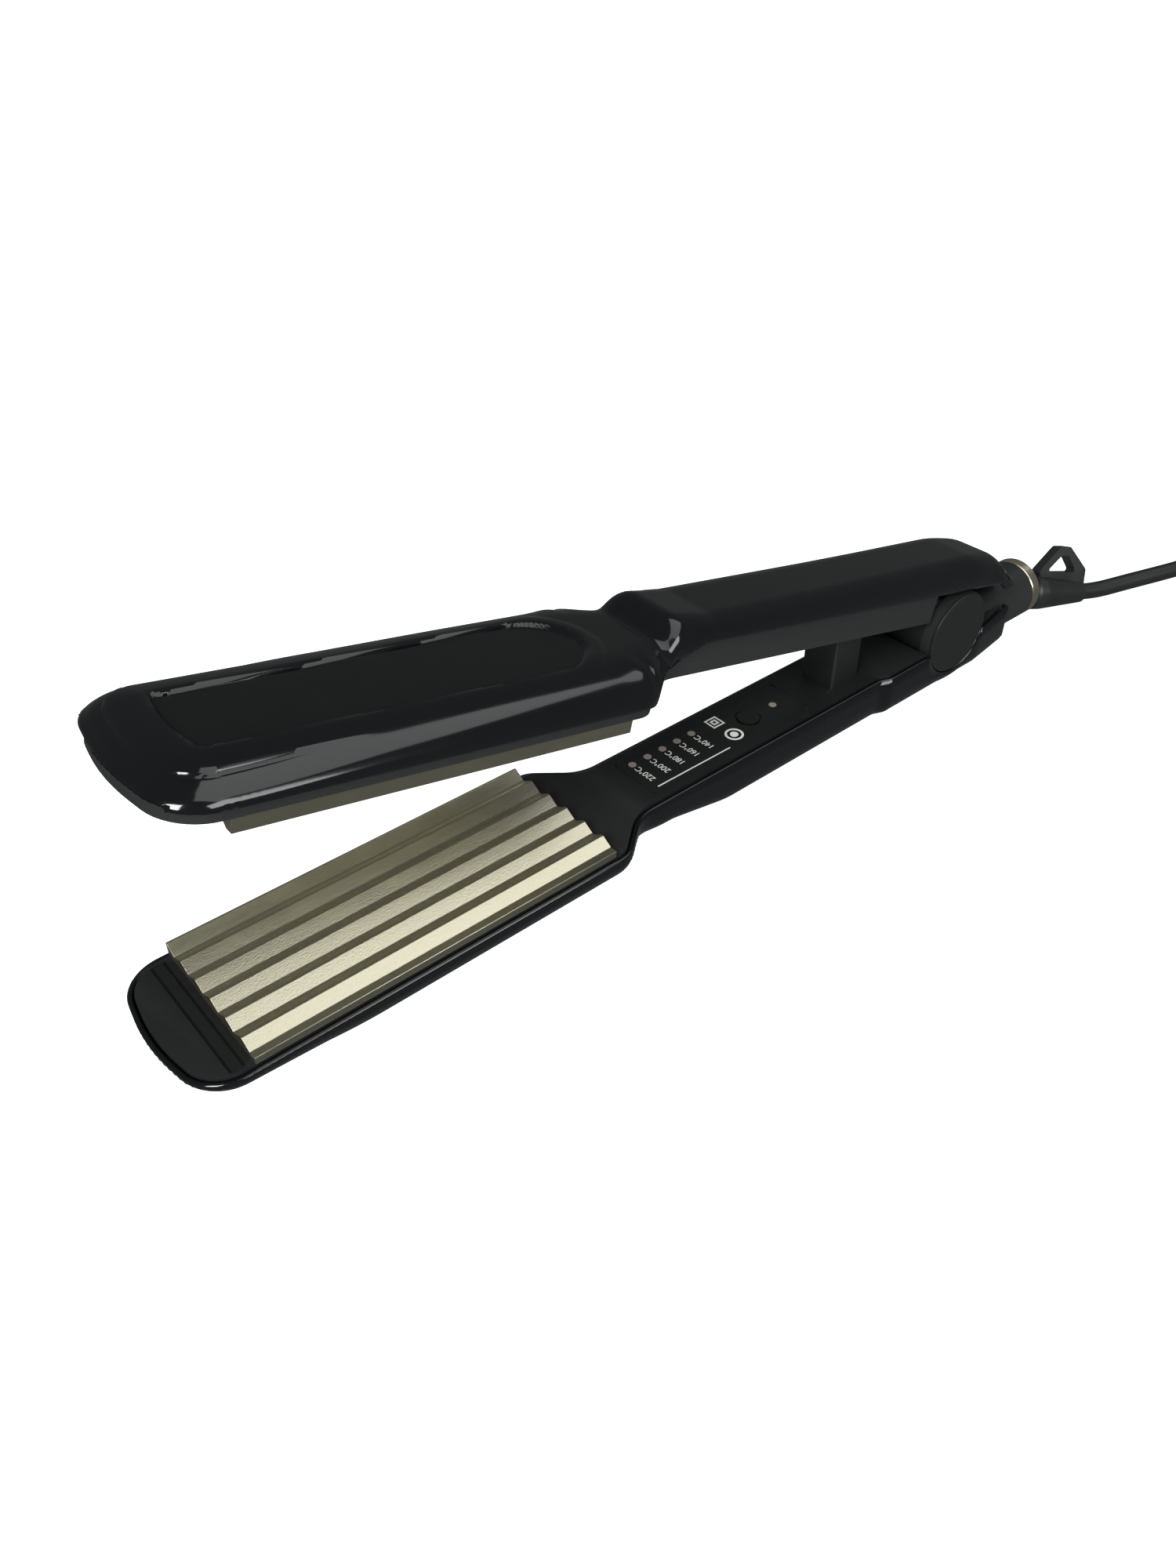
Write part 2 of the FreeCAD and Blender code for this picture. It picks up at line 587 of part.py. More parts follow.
def layer(name, upward, x, half_y, near, thick, long):
    """Flat block in a head, at a distance behind the mating plane."""
    low = "-(%s) - (%s)" % (near, thick) if upward else near
    return box(name, x, "-(%s)" % half_y, low, long, "2 * (%s)" % half_y, thick)


def heater_set(side, upward):
    """Ceramic heater, insulation, spring clip, plate carrier and sensor of one head."""
    heater = layer(side + "_ceramic_block", upward, "dims.plate_x + 18", "9", "4.1", "2.2",
                   "dims.plate_len - 36")
    finish(side + "_ceramic_heater", heater, side)
    mica = layer(side + "_mica_block", upward, "dims.plate_x + 17", "10", "6.35", "0.4",
                 "dims.plate_len - 34")
    finish(side + "_insulation_sheet", mica, side)
    clip_top = layer(side + "_clip_top", upward, "dims.plate_x + 22", "12", "6.8", "0.6",
                     "dims.plate_len - 44")
    leg_low = "-6.85" if upward else "6.05"
    legs = [box("%s_clip_leg_%d" % (side, i), "dims.plate_x + 22", y, leg_low,
                "dims.plate_len - 44", "0.6", "0.8") for i, y in enumerate(("-12", "11.4"))]
    finish(side + "_heater_clip", joined(side + "_clip_whole", [clip_top] + legs), side)
    outer = layer(side + "_carrier_outer", upward, "dims.plate_x - 3", "20", "5.6", "2",
                  "dims.plate_len + 4")
    inner = layer(side + "_carrier_inner", upward, "dims.plate_x + 2.8", "16.2", "5", "4",
                  "dims.plate_len - 5.6")
    finish(side + "_plate_carrier", cut(side + "_carrier_cut", outer, [inner]), side)
    sensor = rod(side + "_sensor_bead", "Y", "dims.plate_x + dims.plate_len - 12", "-3",
                 "-7.4" if upward else "7.4", "1.2", "6")
    finish(side + "_temperature_sensor", sensor, side)


def thermal_fuse():
    return finish("thermal_fuse", rod("thermal_fuse_can", "X", "dims.plate_x + 94", "8", "-8.2",
                                      "1.9", "9"), "lower")


# ---------------------------------------------------------------- hinge

def hinge_parts():
    finish("hinge_pin", rod("hinge_pin_rod", "Y", "0", "-dims.cap_y", "0", "dims.pin_r",
                            "2 * dims.cap_y"), "lower")
    bushes = []
    for side, low in (("near", "-dims.knuckle_w"), ("far", "dims.knuckle_w - 5")):
        sleeve = rod("bush_sleeve_" + side, "Y", "0", low, "0", "dims.bush_r", "5")
        bore = rod("bush_bore_" + side, "Y", "0", "-20", "0", "dims.pin_r + dims.run_gap", "40")
        bushes.append(cut("bush_" + side, sleeve, [bore]))
    finish("hinge_bushes", group("hinge_bush_pair", bushes), "upper")
    for side, sign in (("near", -1), ("far", 1)):
        low = "-dims.cap_y - dims.cap_t" if sign < 0 else "dims.cap_y"
        disc = rod("cap_disc_" + side, "Y", "0", low, "0", "dims.cap_r", "dims.cap_t")
        rim = softened("cap_round_" + side, disc, 0.6,
                       lambda edge, s=sign: edge.BoundBox.YMin * s > val("dims.cap_y") + 1
                       or edge.BoundBox.YMax * s > val("dims.cap_y") + 1)
        finish("hinge_cap_" + side, rim, "lower")


def opening_spring():
    """Compression spring from the spring post's foot to the roof of the upper grip."""
    wire = val("dims.spring_wire")
    radius = val("dims.spring_r")
    foot = V(val("dims.post_x + 6.2"), 0, -15.5)
    head = V(val("dims.post_x + 9.4"), 0, 29.0)
    helix = Part.makeHelix((head - foot).Length / 9, (head - foot).Length, radius)
    ring = Part.Wire(Part.makeCircle(wire, V(radius, 0, 0), V(0, 1, 0)))
    coil = Part.Wire(helix.Edges).makePipeShell([ring], True, True)
    spring = doc.addObject("Part::Feature", "opening_spring_coil")
    turn = FreeCAD.Rotation(V(0, 0, 1), head - foot)
    coil.transformShape(FreeCAD.Placement(foot, turn).toMatrix())
    spring.Shape = coil
    return finish("opening_spring", spring, "lower")


def arm_wires():
    """Two wires that cross beside the hinge to feed the upper heater."""
    wires = []
    for number, y in enumerate((4.6, 6.6)):
        path = [V(-39.5, y, -12), V(-33, y, -11), V(-31.5, y, 0), V(-31, y, 14)]
        wires.append(tube("arm_wire_%d" % number, path, 0.7)[0])
    return finish("arm_wires", group("arm_wire_pair", wires), "lower")


# ---------------------------------------------------------------- control panel

def control_parts():
    fascia = padded("fascia_pad", "XY", mirrored_corners([
        ("dims.panel_x", "-dims.panel_w", "1.5"),
        ("dims.panel_x + dims.panel_len", "-dims.panel_w", "4"),
    ]), "dims.face_z - dims.panel_t", "dims.face_z")
    holes = [rod("fascia_led_%d" % i, "Z", "dims.led_x + %d * dims.led_step" % i, "dims.led_y",
                 "-10", "dims.led_r", "20") for i in range(5)]
    holes.append(rod("fascia_power", "Z", "dims.power_led_x", "0", "-10", "dims.led_r", "20"))
    holes.append(rod("fascia_button", "Z", "dims.button_x", "0", "-10", "dims.button_r + 0.6",
                     "20"))
    finish("control_fascia", cut("fascia_cut", fascia, holes), "lower")

    leds = [rod("led_%d" % i, "Z", "dims.led_x + %d * dims.led_step" % i, "dims.led_y",
                "dims.board_z + dims.board_t", "dims.led_r",
                "dims.face_z - dims.board_z - dims.board_t + 0.1") for i in range(5)]
    finish("temperature_leds", group("led_row", leds), "lower")
    finish("power_led", rod("power_led_lens", "Z", "dims.power_led_x", "0",
                            "dims.board_z + dims.board_t", "dims.led_r",
                            "dims.face_z - dims.board_z - dims.board_t + 0.1"), "lower")
    stem = rod("button_stem", "Z", "dims.button_x", "0", "-6.5", "dims.button_r", "3.6")
    flange = rod("button_flange", "Z", "dims.button_x", "0", "-6.5", "4.4", "0.6")
    finish("push_button", joined("button_whole", [stem, flange]), "lower")
    switch_body = box("switch_body", "dims.button_x - 3", "-3", "dims.board_z + dims.board_t",
                      "6", "6", "1.6")
    plunger = rod("switch_plunger", "Z", "dims.button_x", "0",
                  "dims.board_z + dims.board_t + 1.5", "1.7", "0.6")
    finish("tact_switch", joined("switch_whole", [switch_body, plunger]), "lower")
    board = box("board_block", "dims.panel_x + 1", "-9.5", "dims.board_z",
                "dims.panel_len - 3", "19", "dims.board_t")
    finish("circuit_board", board, "lower")
    triac = box("triac_body", "-79", "-4", "dims.board_z - 4.6", "10", "8", "4.6")
    finish("power_switch_chip", triac, "lower")
    can = rod("capacitor_can", "X", "-92", "0", "dims.board_z - 3.2", "3.2", "11")
    finish("supply_capacitor", can, "lower")
    posts = [rod("board_stud_%d" % i, "Z", x, "0", "dims.board_z + dims.board_t", "1.6",
                 "dims.face_z - dims.lid_t - dims.board_z - dims.board_t")
             for i, x in enumerate(("dims.panel_x + 4.4", "-98"))]
    finish("board_spacers", group("board_spacer_pair", posts), "lower")


# ---------------------------------------------------------------- tail, swivel and cord

def tail_parts():
    socket = turned("tail_socket_turn", [
        ("dims.tail_start", "5"), ("dims.tail_start", "dims.tail_r - 0.8"),
        ("dims.tail_start + 0.8", "dims.tail_r"), ("dims.ring_x", "dims.tail_r"),
        ("dims.ring_x", "dims.ball_r + 0.06"), ("dims.ring_x - 14", "dims.ball_r + 0.06"),
        ("dims.ring_x - 14", "7.2"), ("dims.tail_start + 3", "7.2"),
        ("dims.tail_start + 3", "5")], "0", "0", "dims.tail_z")
    finish("tail_socket", group("tail_socket_solid", [socket]), "lower")
    ring = turned("ring_turn", [
        ("0", "8.2"), ("0", "dims.tail_r - 0.3"), ("0.6", "dims.tail_r"),
        ("dims.ring_len - 1", "dims.tail_r"), ("dims.ring_len", "dims.tail_r - 1"),
        ("dims.ring_len", "8.2")], "dims.ring_x", "0", "dims.tail_z")
    finish("swivel_ring", group("swivel_ring_solid", [ring]), "lower")
    carrier = rod("contact_carrier_rod", "X", "dims.tail_start + 4", "0", "dims.tail_z", "7.2",
                  "13.5")
    finish("contact_carrier", carrier, "lower")
    contacts = []
    for number, radius in enumerate((6.0, 3.4)):
        disc = rod("contact_disc_%d" % number, "X", "dims.tail_start + 17.5", "0", "dims.tail_z",
                   str(radius), "1")
        hole = rod("contact_disc_hole_%d" % number, "X", "dims.tail_start + 16.5", "0",
                   "dims.tail_z", str(radius - 1.6), "3")
        contacts.append(cut("contact_ring_%d" % number, disc, [hole]))
    finish("brass_contacts", group("contact_ring_pair", contacts), "lower")


def swivel_axes():
    """Unit vectors of the strain relief: along it, and across it towards the hanging loop."""
    dip = math.radians(val("dims.swivel_dip"))
    swing = math.radians(val("dims.swivel_swing"))
    along = V(math.cos(dip) * math.cos(swing), -math.cos(dip) * math.sin(swing), -math.sin(dip))
    upright = (V(0, 0, 1) - along * along.z).normalize()
    sideways = along.cross(upright)
    roll = math.radians(val("dims.loop_roll"))
    across = upright * math.cos(roll) + sideways * math.sin(roll)
    return along, across


def boot_tip():
    along, across = swivel_axes()
    start = V(val("dims.ball_x"), 0, val("dims.tail_z"))
    return start + along * val("dims.boot_len")


def swivel_parts():
    """Swivel ball and the moulded strain relief with its triangular hanging loop."""
    along, across = swivel_axes()
    centre = V(val("dims.ball_x"), 0, val("dims.tail_z"))
    ball = doc.addObject("Part::Sphere", "swivel_ball_sphere")
    ball.setExpression("Radius", "dims.ball_r")
    ball.setExpression("Placement.Base.x", "dims.ball_x")
    ball.setExpression("Placement.Base.z", "dims.tail_z")
    seat = doc.addObject("Part::Cylinder", "swivel_ball_seat")
    seat.Radius = 3.6
    seat.Height = 20
    seat.Placement = FreeCAD.Placement(centre + along * 5, FreeCAD.Rotation(V(0, 0, 1), along))
    finish("swivel_ball", cut("swivel_ball_cut", ball, [seat]), "lower")

    tip = val("dims.boot_tip_r")
    wide = val("dims.boot_r")
    reach = val("dims.boot_len")
    half = [(5, 0), (5, 3.6), (11.4, 3.6), (13.6, wide), (17, wide), (reach, tip), (reach, 0)]
    edge = [centre + along * a + across * b for a, b in half]
    section = Part.Face(Part.makePolygon(edge + [edge[0]]))
    boot = section.revolve(centre, along, 360)
    normal = along.cross(across)

    def loop_solid(points, thick, bend):
        corners = [centre + along * a + across * b for a, b in points]
        wire = Part.makePolygon(corners + [corners[0]])
        flat = Part.Face(wire)
        slab = flat.extrude(normal * thick)
        slab.translate(normal * (-thick / 2))
        upright = [e for e in slab.Edges
                   if abs(abs(e.tangentAt(e.FirstParameter).dot(normal)) - 1) < 1e-6]
        return slab.makeFillet(bend, upright)
    plate = loop_solid([(15, 0), (14.6, 8.0), (23, 16.6), (27.5, 16.6), (36, 8.5), (36, 0)],
                       4.4, 1.6)
    hole = loop_solid([(17.6, 7.4), (24, 13.4), (27, 13.4), (31.6, 7.4)], 8, 0.9)
    whole = boot.fuse(plate).cut(hole).removeSplitter()
    relief = doc.addObject("Part::Feature", "strain_relief_shape")
    relief.Shape = whole
    finish("strain_relief", relief, "lower")


def tube(name, points, radius):
    """Round tube along straight runs joined by tangent arcs; prints each bend's radius."""
    edges = []
    start = points[0]
    bends = []
    for before, corner, after in zip(points, points[1:], points[2:]):
        back = before - corner
        ahead = after - corner
        turn = math.pi - back.getAngle(ahead)
        reach = 0.45 * min(back.Length, ahead.Length)
        bend = reach / math.tan(turn / 2)
        back.normalize()
        ahead.normalize()
        centre = corner + (back + ahead).normalize() * (bend / math.cos(turn / 2))
        middle = centre + (corner - centre).normalize() * bend
        edges.append(Part.LineSegment(start, corner + back * reach).toShape())
        edges.append(Part.Arc(corner + back * reach, middle, corner + ahead * reach).toShape())
        start = corner + ahead * reach
        bends.append(round(bend, 1))
    edges.append(Part.LineSegment(start, points[-1]).toShape())
    path = Part.Wire(edges)
    section = Part.Wire(Part.makeCircle(radius, points[0], points[1] - points[0]))
    solid = path.makePipeShell([section], True, True)
    expected = math.pi * radius ** 2 * path.Length
    print("%s: bends %s, length %.1f, volume off by %.2f %%"
          % (name, bends, path.Length, 100 * (solid.Volume / expected - 1)))
    feature = doc.addObject("Part::Feature", name)
    feature.Shape = solid
    return feature, path.Length


def hank_block(name, radius, low, tall):
    """Upright block with round ends, as wide as a turn of the hank."""
    ends = [rod("%s_end_%d" % (name, i), "Z", "dims.hank_x %s dims.hank_run / 2" % sign,
                "dims.hank_y", low, radius, tall) for i, sign in enumerate("-+")]
    middle = box(name + "_middle", "dims.hank_x - dims.hank_run / 2",
                 "dims.hank_y - %s" % radius, low, "dims.hank_run", "2 * %s" % radius, tall)
    return joined(name, ends + [middle])


def cord_ties():
    """Two flat straps, one round each run of the hank."""
    straps = []
    for name, side in (("near", "-"), ("far", "+")):
        middle = "dims.hank_y %s (dims.hank_out + dims.hank_in) / 2" % side
        wide = "(dims.hank_out - dims.hank_in + 0.1)"
        strap = box("tie_" + name, "dims.hank_x - dims.tie_len / 2",
                    "%s - %s / 2 - dims.tie_t" % (middle, wide),
                    "-dims.hinge_z", "dims.tie_len", "%s + 2 * dims.tie_t" % wide,
                    "dims.hank_low + dims.hank_tall + dims.tie_t + 0.05")
        room = box("tie_room_" + name, "dims.hank_x - dims.tie_len / 2 - 1",
                   "%s - %s / 2" % (middle, wide), "dims.hank_low - dims.hinge_z - 0.05",
                   "dims.tie_len + 2", wide, "dims.hank_tall + 0.1")
        straps.append(cut("tie_band_" + name, strap, [room]))
    finish("cord_ties", group("cord_tie_pair", straps), "lower")


def cord_parts():
    """Cord from the strain relief to its hank, the hank, and the lead to the plug."""
    foot = V(val("dims.hinge_x"), 0, val("dims.hinge_z"))
    table = -val("dims.hinge_z")
    lie = table + val("dims.cord_r")
    first = lie + val("dims.hank_low")
    lead = [
        boot_tip(), boot_tip() + swivel_axes()[0] * 6.6,
        V(104.0, -18.7, lie), V(130.0, -26.5, lie), V(160.0, -32.5, lie), V(185.0, -34.5, first),
        V(206.0, -34.5, first)]
    for point in lead:
        print("lead point, part frame: %.1f %.1f %.1f" % tuple(point + foot))
    finish("cord_lead", tube("cord_lead_tube", lead, val("dims.cord_r"))[0], "lower")
    outer = hank_block("hank_outer", "dims.hank_out", "dims.hank_low - dims.hinge_z",
                       "dims.hank_tall")
    inner = hank_block("hank_inner", "dims.hank_in", "dims.hank_low - dims.hinge_z - 1",
                       "dims.hank_tall + 2")
    finish("cord_hank", cut("hank_cut", outer, [inner]), "lower")
    cord_ties()
    level = table + val("dims.plug_z")
    high = first + 18.6
    end = [V(270.5, -34.5, high), V(281.0, -34.2, high), V(293.0, -32.2, table + 18.8),
           V(309.0, -27.6, table + 10.4), V(321.0, -24.6, level), V(331.5, -24.0, level)]
    for point in end:
        print("plug lead point, part frame: %.1f %.1f %.1f" % tuple(point + foot))
    finish("cord_plug_lead", tube("cord_plug_lead_tube", end, val("dims.cord_r"))[0], "lower")


def plug_parts():
    """Flat two-pin mains plug that lies beyond the hank."""
    boot = doc.addObject("Part::Cone", "plug_boot_cone")
    boot.Placement.Rotation = FreeCAD.Rotation(V(0, 1, 0), 90)
    boot.Radius1 = 4.2
    boot.Radius2 = 5.6
    boot.Height = 17
    for key in "xyz":
        boot.setExpression("Placement.Base." + key,
                           "dims.plug_" + key + (" - dims.hinge_z" if key == "z" else ""))
    block = padded("plug_body_pad", "XY", [
        ("16", "-8.5", "3"), ("30", "-13", "6"), ("52", "-13", "2.5"),
        ("52", "13", "2.5"), ("30", "13", "6"), ("16", "8.5", "3")], "-6.8", "6.8")
    doc.recompute()
    soft = softened("plug_body_round", block, 2.2,
                    lambda edge: abs(abs(edge.BoundBox.ZMin) - 6.8) < 0.01
                    and edge.BoundBox.ZLength < 0.01)
    soft.setExpression("Placement.Base.x", "dims.plug_x")
    soft.setExpression("Placement.Base.y", "dims.plug_y")
    soft.setExpression("Placement.Base.z", "dims.plug_z - dims.hinge_z")
    finish("plug_body", joined("plug_whole", [soft, boot]), "lower")
    pins = [rod("plug_pin_%d" % i, "X", "dims.plug_x + 52", "dims.plug_y + %s" % y,
                "dims.plug_z - dims.hinge_z", "2", "19")
            for i, y in enumerate(("9.3", "-9.3"))]
    finish("plug_pins", group("plug_pin_pair", pins), "lower")


# ---------------------------------------------------------------- build and write

def build():
    lower_outer_shell()
    lower_inner_frame()
    upper_outer_shell()
    upper_inner_frame()
    upper_trim_panel()
    medallion()
    wave_plate("lower_heat_plate", True, "lower")
    wave_plate("upper_heat_plate", False, "upper")
    heater_set("lower", True)
    heater_set("upper", False)
    thermal_fuse()
    hinge_parts()
    opening_spring()
    arm_wires()
    control_parts()
    screws("lower_arm_screws", LOWER_SCREWS, "dims.base_z + 0.2", "lower")
    screws("upper_arm_screws", UPPER_SCREWS, "dims.grip_face", "upper")
    tail_parts()
    swivel_parts()
    cord_parts()
    plug_parts()


def write():
    doc.recompute()
    bad = [entry.Name for entry in doc.Objects
           if "Invalid" in entry.State or "Error" in entry.State]
    if bad:
        raise RuntimeError("failed objects: %s" % bad)
    os.makedirs("parts", exist_ok=True)
    for name, entry in nodes.items():
        shape = entry.Shape
        if shape.isNull() or not shape.isValid() or not shape.Solids:
            raise RuntimeError("bad shape: " + name)
    for name, entry in nodes.items():
        entry.Shape.exportStep("parts/%s.step" % name)
    print("%d nodes written" % len(nodes))


build()
write()
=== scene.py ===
import bisect
import math

import bmesh
import bpy
from mathutils import Matrix, Vector
from mathutils.kdtree import KDTree


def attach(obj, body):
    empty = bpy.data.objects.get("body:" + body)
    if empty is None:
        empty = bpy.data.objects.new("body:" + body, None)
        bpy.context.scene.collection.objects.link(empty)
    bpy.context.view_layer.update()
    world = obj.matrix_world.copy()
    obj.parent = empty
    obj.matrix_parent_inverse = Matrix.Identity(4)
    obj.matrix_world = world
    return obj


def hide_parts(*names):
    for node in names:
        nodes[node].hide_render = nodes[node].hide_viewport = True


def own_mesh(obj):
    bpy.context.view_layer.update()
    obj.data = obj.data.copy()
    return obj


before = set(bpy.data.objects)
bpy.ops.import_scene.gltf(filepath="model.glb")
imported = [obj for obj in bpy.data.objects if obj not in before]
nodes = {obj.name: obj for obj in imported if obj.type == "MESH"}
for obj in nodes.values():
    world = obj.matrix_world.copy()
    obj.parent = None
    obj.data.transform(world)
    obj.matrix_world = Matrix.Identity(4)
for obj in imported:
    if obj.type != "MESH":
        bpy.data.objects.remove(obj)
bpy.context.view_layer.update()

# Each arm is drawn in millimetres from the hinge axis, with x to the tail, z up and the
# meeting plane of the plates at z = 0. LOWER and UPPER put the arms in their places.
MM = 0.001
HINGE = (0.110, 0.0, 0.0195)
OPENING = 13.4
LOWER = Matrix.Translation(HINGE)
UPPER = LOWER @ Matrix.Rotation(math.radians(OPENING), 4, "Y")


# ---------------------------------------------------------------- camera

CAMERA_PLACE = (-0.2079, -0.2035, 0.2329)
CAMERA_YAW, CAMERA_PITCH, CAMERA_ROLL = 39.83, 38.34, -0.45


def aim_camera():
    """Camera above the nose, on its near side, that looks down along the arms."""
    data = bpy.data.cameras.new("Camera")
    data.lens = 28.15
    data.sensor_width = 36.0
    data.sensor_fit = "AUTO"
    data.clip_start = 0.01
    data.clip_end = 50.0
    camera = bpy.data.objects.new("Camera", data)
    bpy.context.scene.collection.objects.link(camera)
    yaw, pitch = math.radians(CAMERA_YAW), math.radians(CAMERA_PITCH)
    turn = Matrix.Rotation(-yaw, 4, "Z") @ Matrix.Rotation(math.radians(90) - pitch, 4, "X")
    roll = Matrix.Rotation(math.radians(CAMERA_ROLL), 4, "Z")
    camera.matrix_world = Matrix.Translation(CAMERA_PLACE) @ turn @ roll
    bpy.context.scene.camera = camera


# ---------------------------------------------------------------- materials

CLOUD_SHARE = 0.06
RUB_GAIN, RUB_ADD = 1.6, 0.03


def material(name, colour, rough, metallic=0.0, speck=900.0, vary=0.12, spread=0.08, bump=0.02,
             coat=0.0, wear=0.0, stretch=(1.0, 1.0, 1.0), shine=0.5):
    """Plastic or metal with a fine grain, cloudy roughness and edges that are rubbed lighter."""
    made = bpy.data.materials.new(name)
    made.use_nodes = True
    tree = made.node_tree
    shader = tree.nodes["Principled BSDF"]
    shader.inputs["Metallic"].default_value = metallic
    shader.inputs["Specular IOR Level"].default_value = shine
    shader.inputs["Coat Weight"].default_value = coat
    shader.inputs["Coat Roughness"].default_value = 0.06

    where = tree.nodes.new("ShaderNodeTexCoord")
    mapping = tree.nodes.new("ShaderNodeMapping")
    mapping.inputs["Scale"].default_value = stretch
    tree.links.new(where.outputs["Object"], mapping.inputs["Vector"])

    cloud = tree.nodes.new("ShaderNodeTexNoise")
    cloud.inputs["Scale"].default_value = speck * CLOUD_SHARE
    cloud.inputs["Detail"].default_value = 5.0
    tree.links.new(mapping.outputs["Vector"], cloud.inputs["Vector"])

    grain = tree.nodes.new("ShaderNodeTexNoise")
    grain.inputs["Scale"].default_value = speck
    grain.inputs["Detail"].default_value = 3.0
    tree.links.new(mapping.outputs["Vector"], grain.inputs["Vector"])

    tint = tree.nodes.new("ShaderNodeMix")
    tint.data_type = "RGBA"
    tint.inputs["A"].default_value = [c * (1 - vary) for c in colour] + [1.0]
    tint.inputs["B"].default_value = [min(1.0, c * (1 + vary)) for c in colour] + [1.0]
    tree.links.new(cloud.outputs["Fac"], tint.inputs["Factor"])

    edge = tree.nodes.new("ShaderNodeNewGeometry")
    rub = tree.nodes.new("ShaderNodeMapRange")
    rub.inputs["From Min"].default_value = 0.53
    rub.inputs["From Max"].default_value = 0.62
    rub.inputs["To Max"].default_value = wear
    tree.links.new(edge.outputs["Pointiness"], rub.inputs["Value"])
    worn = tree.nodes.new("ShaderNodeMix")
    worn.data_type = "RGBA"
    worn.inputs["B"].default_value = [min(1.0, c * RUB_GAIN + RUB_ADD) for c in colour] + [1.0]
    tree.links.new(rub.outputs["Result"], worn.inputs["Factor"])
    tree.links.new(tint.outputs["Result"], worn.inputs["A"])
    tree.links.new(worn.outputs["Result"], shader.inputs["Base Color"])

    polish = tree.nodes.new("ShaderNodeMapRange")
    polish.inputs["To Min"].default_value = max(0.02, rough - spread)
    polish.inputs["To Max"].default_value = rough + spread
    tree.links.new(cloud.outputs["Fac"], polish.inputs["Value"])
    tree.links.new(polish.outputs["Result"], shader.inputs["Roughness"])

    relief = tree.nodes.new("ShaderNodeBump")
    relief.inputs["Strength"].default_value = bump
    relief.inputs["Distance"].default_value = 0.0002
    tree.links.new(grain.outputs["Fac"], relief.inputs["Height"])
    tree.links.new(relief.outputs["Normal"], shader.inputs["Normal"])
    return made


FINISHES = {
    "gloss_shell": material("gloss_black", (0.0035, 0.0042, 0.005), 0.11, speck=700, bump=0.003,
                            spread=0.05, coat=0.3),
    "satin_frame": material("satin_black", (0.0115, 0.0128, 0.0125), 0.4, speck=2600, bump=0.08,
                            wear=0.25, shine=0.22),
    "fascia": material("panel_film", (0.007, 0.008, 0.0075), 0.28, speck=2200, bump=0.06,
                       wear=0.2, shine=0.22),
    "trim": material("satin_trim", (0.005, 0.0068, 0.0062), 0.3, speck=2400, bump=0.05,
                     wear=0.25, shine=0.35),
    "dark_metal": material("dark_metal", (0.02, 0.022, 0.025), 0.24, 0.6, speck=1500, bump=0.05,
                           wear=0.5),
    "heat_plate": material("champagne_plate", (0.66, 0.63, 0.48), 0.33, 1.0, speck=3200,
                           bump=0.25, vary=0.06, spread=0.05, wear=0.25, stretch=(0.35, 1, 1)),
    "ceramic": material("ceramic", (0.62, 0.60, 0.55), 0.6, speck=1800, bump=0.15, vary=0.06),
    "insulation": material("mica_sheet", (0.55, 0.42, 0.22), 0.5, speck=1200, bump=0.2, vary=0.2),
    "steel": material("spring_steel", (0.55, 0.55, 0.54), 0.3, 1.0, speck=2000, bump=0.08),
    "carrier": material("carrier_plastic", (0.05, 0.05, 0.048), 0.5, speck=2000, bump=0.15),
    "brass": material("brass", (0.72, 0.53, 0.25), 0.3, 1.0, speck=1800, bump=0.08),
    "wire_insulation": material("wire_insulation", (0.45, 0.05, 0.03), 0.45, speck=1500, bump=0.1),
    "board": material("circuit_board", (0.02, 0.16, 0.06), 0.4, speck=1500, bump=0.15, vary=0.2),
    "led_lens": material("lamp_lens", (0.30, 0.27, 0.23), 0.35, speck=1500, bump=0.06, vary=0.15),
    "button": material("button_black", (0.006, 0.007, 0.0065), 0.3, speck=2400, bump=0.1,
                       wear=0.3),
    "pale_gold": material("pale_gold", (0.78, 0.70, 0.55), 0.27, 1.0, speck=2400, bump=0.1,
                          vary=0.06, wear=0.2, stretch=(0.2, 1, 1)),
    "boot_rubber": material("boot_rubber", (0.011, 0.0118, 0.012), 0.4, speck=2200, bump=0.12,
                            wear=0.2),
    "cord": material("cord_sheath", (0.011, 0.0116, 0.012), 0.42, speck=1800, bump=0.1),
}
PRINT = material("white_print", (0.78, 0.80, 0.76), 0.5, speck=3000, bump=0.05, vary=0.05)


def repaint_frame():
    """Give every CAD part the detailed finish of its own material slot."""
    for name, node in nodes.items():
        for held in node.material_slots:
            held.material = FINISHES[held.material.name.split(".")[0]]


# ---------------------------------------------------------------- shapes

ARC_LENGTH = 0.8


def rounded(corners):
    """Open line through corners (x, y, radius), with each inner corner turned by an arc."""
    line = [Vector(corners[0][:2])]
    for before, corner, after in zip(corners, corners[1:], corners[2:]):
        here = Vector(corner[:2])
        back = (Vector(before[:2]) - here).normalized()
        ahead = (Vector(after[:2]) - here).normalized()
        half = back.angle(ahead) / 2
        centre = here + (back + ahead).normalized() * corner[2] / math.sin(half)
        start = here + back * corner[2] / math.tan(half) - centre
        stop = here + ahead * corner[2] / math.tan(half) - centre
        sweep = math.pi - 2 * half
        parts = 2 * max(2, math.ceil(corner[2] * sweep / ARC_LENGTH / 2))
        for i in range(parts + 1):
            t = i / parts
            line.append(centre + (start * math.sin((1 - t) * sweep)
                                  + stop * math.sin(t * sweep)) / math.sin(sweep))
    line.append(Vector(corners[-1][:2]))
    return line


